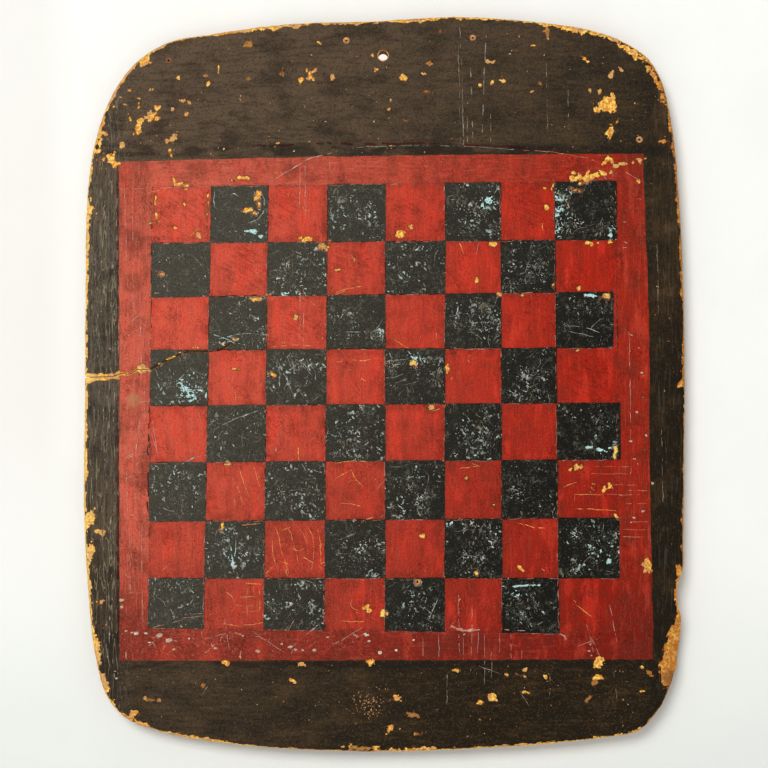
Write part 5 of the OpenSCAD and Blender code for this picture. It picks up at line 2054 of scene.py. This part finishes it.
@dataclass(frozen=True)
class PalePaint:
    """The pale coat under the black: clear blue in some places, chalky grey in the others.

    Attributes:
        name: The material's name.
        dimmed: How dull it is in the dull places, from 0 to 1.
        blue: Its blue.
        chalk: Its grey.
        white: Its brightest chalk.
        grime: Dirt on it.
        blues: Where it is bluest, as x, down and reach.
    """

    name: str = "blue_paint"
    dimmed: float = 0.5
    blue: Colour = tone(188, 226, 222)
    chalk: Colour = tone(134, 138, 128)
    white: Colour = tone(206, 212, 202)
    grime: Colour = tone(70, 70, 62)
    blues: Spots = (
        (-122, 217, 13), (116, 104, 8), (116, 91, 6), (117, 114, 6), (68, 94, 7), (-84, 115, 7),
        (-100, 185, 7), (91, 345, 12), (140, 255, 11), (138, 326, 14), (46, 302, 6), (-63, 153, 5),
        (150, 116, 5), (136, 156, 5), (-98, 325, 6), (21, 196, 5), (-144, 341, 6),
    )

    def material(self) -> Material:
        """Returns the finish."""
        m = Mixer(self.name)
        fine = m.noise(1.1, 52, 3, rough=0.7)
        blues = m.near(self.blues)
        tinge = m.noise(14, 51, 2).above(0.5, 0.64) * 0.3
        colour = m.coats(
            self.chalk,
            (m.noise(5, 53, 2).above(0.48, 0.62), self.white),
            (m.math("MAXIMUM", tinge, blues), self.blue),
            (fine.above(0.48, 0.64) * 0.7, self.grime),
            (m.noise(4, 54, 3).above(0.54, 0.42) * (1 - blues) * self.dimmed, self.grime),
        )
        return m.finish(colour, 0.55 + fine * 0.2, fine, 0.2)


@dataclass(frozen=True)
class Studio:
    """The wall behind the board, the floor below it, the lamps and the camera, in metres.

    Attributes:
        middle: Where the camera looks, in the middle of the board's face.
        view_width: How wide the view is there.
        lens: The camera's focal length in millimetres.
        sensor: Its sensor's width in millimetres.
        gap: How far behind the board's back the wall stands.
        aside: How far the wall and the floor reach to each side.
        ahead: How far the floor reaches forwards and backwards.
        ground: Height of the floor.
        ceiling: Height of the wall's upper edge.
        lamp: Place of the front lamp. The one behind the wall faces it.
        lamp_size: Width and height of both lamps.
        watts: Their power, in front and behind.
        lamp_tint: Their colour.
        sky: Colour of the even light from all round.
        sky_strength: Its strength.
    """

    middle: Triple = (0.00065, -0.0127, -0.2135)
    view_width: float = 0.4992
    lens: float = 85.0
    sensor: float = 36.0
    gap: float = 0.0015
    aside: float = 2.5
    ahead: float = 3.0
    ground: float = -0.9
    ceiling: float = 2.2
    lamp: Triple = (-1.22, -3.15, 1.5)
    lamp_size: Place = (1.8, 1.6)
    watts: Place = (96.5, 80)
    lamp_tint: Triple = (1.0, 0.99, 0.97)
    sky: Colour = (0.97, 0.99, 1.0, 1.0)
    sky_strength: float = 0.36

    def wall(self) -> None:
        """Adds a pale wall just behind the board, solid only to a camera in front of it.

        Light from behind passes through it, so that the board's back is lit as its front is. Its colour is
        painted lighter higher up and at the left, and a spot behind the hanging hole glows: painted light.
        """
        m = Mixer("pale_wall")
        camera, glossy, clear = (Value(m, s) for s in self._seen_by(m))
        behind = Value(m, m.node("ShaderNodeNewGeometry").outputs["Backfacing"])
        seen = (camera + glossy + clear) * (1 - behind)
        # Painted light on the wall: lighter higher up and at the left
        colour = m.coats(
            tone(231, 234, 231),
            (m.z.above(-480, -280), tone(250, 251, 248)),
            ((m.x * -1).above(196, 228) * m.z.above(-420, -200), tone(241, 239, 235)),
            (m.noise(60, 61, 4).above(0.4, 0.7) * 0.3, tone(241, 243, 238)),
        )
        relief = {"Strength": 0.25, "Distance": 0.3 * MM, "Height": m.noise(5, 62, 4)}
        # A glowing spot behind the hanging hole: painted light, so that the hole shows bright
        lit = m.blend(m.near(((0, 0, 6),)), tone(0, 0, 0), tone(236, 238, 234))
        solid = m.out("ShaderNodeBsdfPrincipled", {}, {
            "Base Color": colour, "Roughness": 0.9, "Specular IOR Level": 0.1,
            "Normal": m.out("ShaderNodeBump", {}, relief), "Emission Color": lit, "Emission Strength": 1.0,
        })
        empty = m.out("ShaderNodeBsdfTransparent")
        mixed = m.out("ShaderNodeMixShader", {}, {0: seen, 1: empty, 2: solid})
        m.node("ShaderNodeOutputMaterial", {}, {0: mixed})
        low, high, x, y = self.ground, self.ceiling, self.aside, self.gap
        self._sheet("wall", [(-x, y, low), (x, y, low), (x, y, high), (-x, y, high)], m.material)

    def floor(self) -> None:
        """Adds a plain pale floor well below the board."""
        m = Mixer("pale_floor")
        colour = m.blend(m.noise(60, 63, 3), tone(238, 237, 233), tone(233, 232, 228))
        solid = m.out("ShaderNodeBsdfPrincipled", {}, {"Base Color": colour, "Roughness": 0.85})
        m.node("ShaderNodeOutputMaterial", {}, {0: solid})
        x, y, z = self.aside, self.ahead, self.ground
        self._sheet("floor", [(-x, -y, z), (x, -y, z), (x, y, z), (-x, y, z)], m.material)

    @staticmethod
    def _seen_by(nodes: Nodes) -> list[Socket]:
        """Returns the three kinds of rays that see the background: from a camera, a mirror and a glass."""
        path = nodes.node("ShaderNodeLightPath").outputs
        return [path[f"Is {kind} Ray"] for kind in ("Camera", "Glossy", "Transmission")]

    @staticmethod
    def _sheet(name: str, corners: Sequence[Triple], material: Material) -> None:
        """Adds a flat sheet to the stage."""
        mesh = bpy.data.meshes.new(name)
        mesh.from_pydata(corners, [], [range(len(corners))])
        mesh.materials.append(material)
        stand(name, mesh)

    def light(self) -> None:
        """Adds a large soft lamp at the upper left, another behind the wall, and an even sky."""
        x, y, z = self.lamp
        self._lamp("window", (x, y, z), self.watts[0])
        self._lamp("behind", (-x, -y, z), self.watts[1])
        world = bpy.data.worlds.new("sky")
        world.use_nodes = True
        world.node_tree.nodes.clear()
        sky = Nodes(world.node_tree)
        even = sky.out("ShaderNodeBackground", {}, {0: self.sky, 1: self.sky_strength})
        white = sky.out("ShaderNodeBackground", {}, {0: (1, 1, 1, 1), 1: 1.0})
        camera, glossy, clear = self._seen_by(sky)
        both = sky.out("ShaderNodeMath", {}, {0: camera, 1: glossy})
        shown = sky.out("ShaderNodeMath", {"use_clamp": True}, {0: both, 1: clear})
        mixed = sky.out("ShaderNodeMixShader", {}, {0: shown, 1: even, 2: white})
        sky.node("ShaderNodeOutputWorld", {}, {0: mixed})
        bpy.context.scene.world = world

    def _lamp(self, name: str, place: Triple, watts: float) -> None:
        """Adds a large soft lamp that faces the board."""
        lamp = bpy.data.lights.new(name, "AREA")
        lamp.shape = "RECTANGLE"
        lamp.size, lamp.size_y = self.lamp_size
        lamp.energy = watts
        lamp.color = self.lamp_tint
        made = stand(name, lamp)
        made.location = place
        made.rotation_euler = (Vector(self.middle) - made.location).to_track_quat("-Z", "Y").to_euler()

    def camera(self) -> None:
        """Adds the camera, square on to the board."""
        data = bpy.data.cameras.new("camera")
        data.lens = self.lens
        data.sensor_width = self.sensor
        made = stand("camera", data)
        distance = self.view_width * self.lens / self.sensor
        made.location = Vector(self.middle) - Vector((0, distance, 0))
        made.rotation_euler = (math.radians(90), 0, 0)
        bpy.context.scene.camera = made

    def set_up(self) -> None:
        """Builds the whole stage."""
        self.wall()
        self.floor()
        self.light()
        self.camera()
        bpy.context.scene.view_settings.view_transform = "Standard"


def palette() -> dict[str, Material]:
    """Makes every finish of the board and returns them by name."""
    finishes = [
        AgedWood(),
        BorderPaint(),
        PalePaint(),
        BlackPaint(),
        RedPaint(),
        # The field's first coat, also paler at the left with a painted sheen from the lamp at the left
        RedPaint(
            "field_paint", left=tone(202, 92, 72), right=tone(160, 34, 14), bright=tone(212, 72, 52),
            dirt=tone(84, 34, 22), worn=tone(206, 124, 96), soiled=0.5, margin=True,
        ),
        AgedWood("scratched_wood", tone(250, 184, 98), tone(224, 120, 60), dull=(), crack=()),
        AgedWood("chipped_wood", dull=(), soft=(), crack=()),
    ]
    for kind, name, *given in (
        (AgedWood, "dull_wood", (214, 168, 122), (178, 124, 82), (150, 104, 70), (104, 68, 44)),
        # The rim round the chips: painted shade and brown staining
        (BorderPaint, "stain", (140, 88, 46), (104, 62, 30), (170, 110, 56), (74, 44, 24), (190, 140, 80)),
        (BorderPaint, "line_paint", (78, 34, 27), (56, 22, 16), (100, 40, 30), (30, 16, 12), (110, 60, 48)),
        (PalePaint, "dusty_scratch", 0.4, (190, 150, 134), (196, 140, 122), (214, 186, 172), (158, 92, 78)),
        (PalePaint, "salmon_scratch", 0.3, (212, 116, 90), (202, 98, 74), (230, 148, 116), (150, 56, 42)),
        (PalePaint, "grey_scratch", 0.4, (138, 130, 114), (116, 108, 92), (176, 167, 146), (78, 71, 58)),
        (PalePaint, "rubbed_edge", 0.5, (150, 104, 90), (148, 92, 78), (186, 138, 120), (84, 46, 38)),
        (PalePaint, "spatter", 0.2, (196, 188, 170), (190, 172, 150), (224, 214, 196), (150, 120, 100)),
    ):
        finishes.append(kind(name, *(tone(*v) if isinstance(v, tuple) else v for v in given)))
    return {finish.name: finish.material() for finish in finishes}


def hand_over(piece: Piece, material: Material, nodes: Sequence[str] = ()) -> None:
    """Gives a piece its finish and its place in the frame, and reports it."""
    piece.data.materials.clear()
    piece.data.materials.append(material)
    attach(piece, BODY)
    if nodes:
        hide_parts(*nodes)
    LOG.info("%s: %d triangles", piece.name, sum(len(p.vertices) - 2 for p in piece.data.polygons))


def dress_board(finishes: dict[str, Material]) -> Paintwork:
    """Makes the panel and its coats of paint, and returns the paintwork."""
    timber = Timber()
    hand_over(timber.dress(), finishes[Slot.WOOD.value], [timber.node])
    paintwork = Paintwork(timber)
    for film, piece in paintwork.bands():
        # The rim round the chips takes the brown of painted shade and staining
        finish = film.slot.value if film.nodes else "stain"
        hand_over(piece, finishes[finish], film.nodes)
    for rank in range(1, paintwork.ruling.count + 1):
        for film, piece in paintwork.rank(rank):
            hand_over(piece, finishes[film.slot.value], film.nodes)
    return paintwork


def mark_board(paintwork: Paintwork, finishes: dict[str, Material]) -> None:
    """Makes everything small that lies on the paint."""
    marks = Marks(paintwork)
    # Drawn lines, each with the seed of its bends
    for name, drawn, finish, slot, seed in (
        ("amber_scratches", AMBER_SCRATCHES, "scratched_wood", Slot.WOOD, 1000),
        ("pale_scratches", PALE_SCRATCHES, "blue_paint", Slot.BLUE, 2000),
        # Two of these dusty lines are a painted highlight on the paint ridge at the field's left edge
        ("dusty_scratches_and_ridge_highlight", DUSTY_SCRATCHES_AND_RIDGE_HIGHLIGHT, "dusty_scratch", Slot.FIELD, 2500),
        ("salmon_scratches", SALMON_SCRATCHES, "salmon_scratch", Slot.FIELD, 2600),
        # Some of these grey lines are painted highlights on the paint ridge at the field's left edge
        ("grey_scratches_and_ridge_highlights", GREY_SCRATCHES_AND_RIDGE_HIGHLIGHTS, "grey_scratch", Slot.BORDER, 2700),
        ("ruled_and_shade_lines", marks.ruled(), "line_paint", Slot.FIELD, 3000),
        ("rubbed_edges", marks.rubbed(), "rubbed_edge", Slot.FIELD, 3500),
        ("grey_hairs", marks.hairs(True, 7), "grey_scratch", Slot.BLUE, 5000),
        ("amber_hairs", marks.hairs(False, 1.0), "scratched_wood", Slot.WOOD, 6000),
    ):
        hand_over(marks.lines(name, drawn, finishes[finish], seed), finishes[finish])
    # Strewn marks, each with its shape
    upright = Shape(width=0.12, turns=(50, 130))
    speck = Shape(Mark.BLOB, 0.7, 0.2, 8)
    spot = Shape(Mark.BLOB, 0.6, 0.16, 5, (-20, 20))
    for name, shape, (places, sizes), finish, slot in (
        ("pale_strokes", Shape(width=0.13), marks.flecks(True, 30, 1.0), "blue_paint", Slot.BLUE),
        ("dim_strokes", upright, marks.flecks(True, 55, 1.1), "grey_scratch", Slot.BLUE),
        ("amber_strokes", Shape(width=0.09), marks.flecks(False, 8, 1.0), "scratched_wood", Slot.WOOD),
        ("dusty_strokes", Shape(width=0.06), marks.dusting(90), "dusty_scratch", Slot.FIELD),
        ("pale_spatter", spot, marks.spots(SPATTER), "spatter", Slot.BLUE),
        ("split_dots", spot, marks.spots(SPLIT_DOTS), "chipped_wood", Slot.WOOD),
        ("tan_specks", speck, marks.specks(520), "dull_wood", Slot.WOOD),
        ("pale_dots", replace(speck, seed=9), marks.patch(130), "dull_wood", Slot.WOOD),
        ("nail_lips", Shape(Mark.RING, 0.34, 0.4, 6), marks.nails(1.6), "dull_wood", Slot.WOOD),
    ):
        hand_over(marks.strewn(name, shape, places, sizes, finishes[finish]), finishes[finish])


def main() -> None:
    """Builds the stage and the board."""
    logging.basicConfig(level=logging.INFO, format="%(name)s: %(message)s", stream=sys.stdout)
    Studio().set_up()
    finishes = palette()
    mark_board(dress_board(finishes), finishes)


if __name__ == "__main__":
    main()
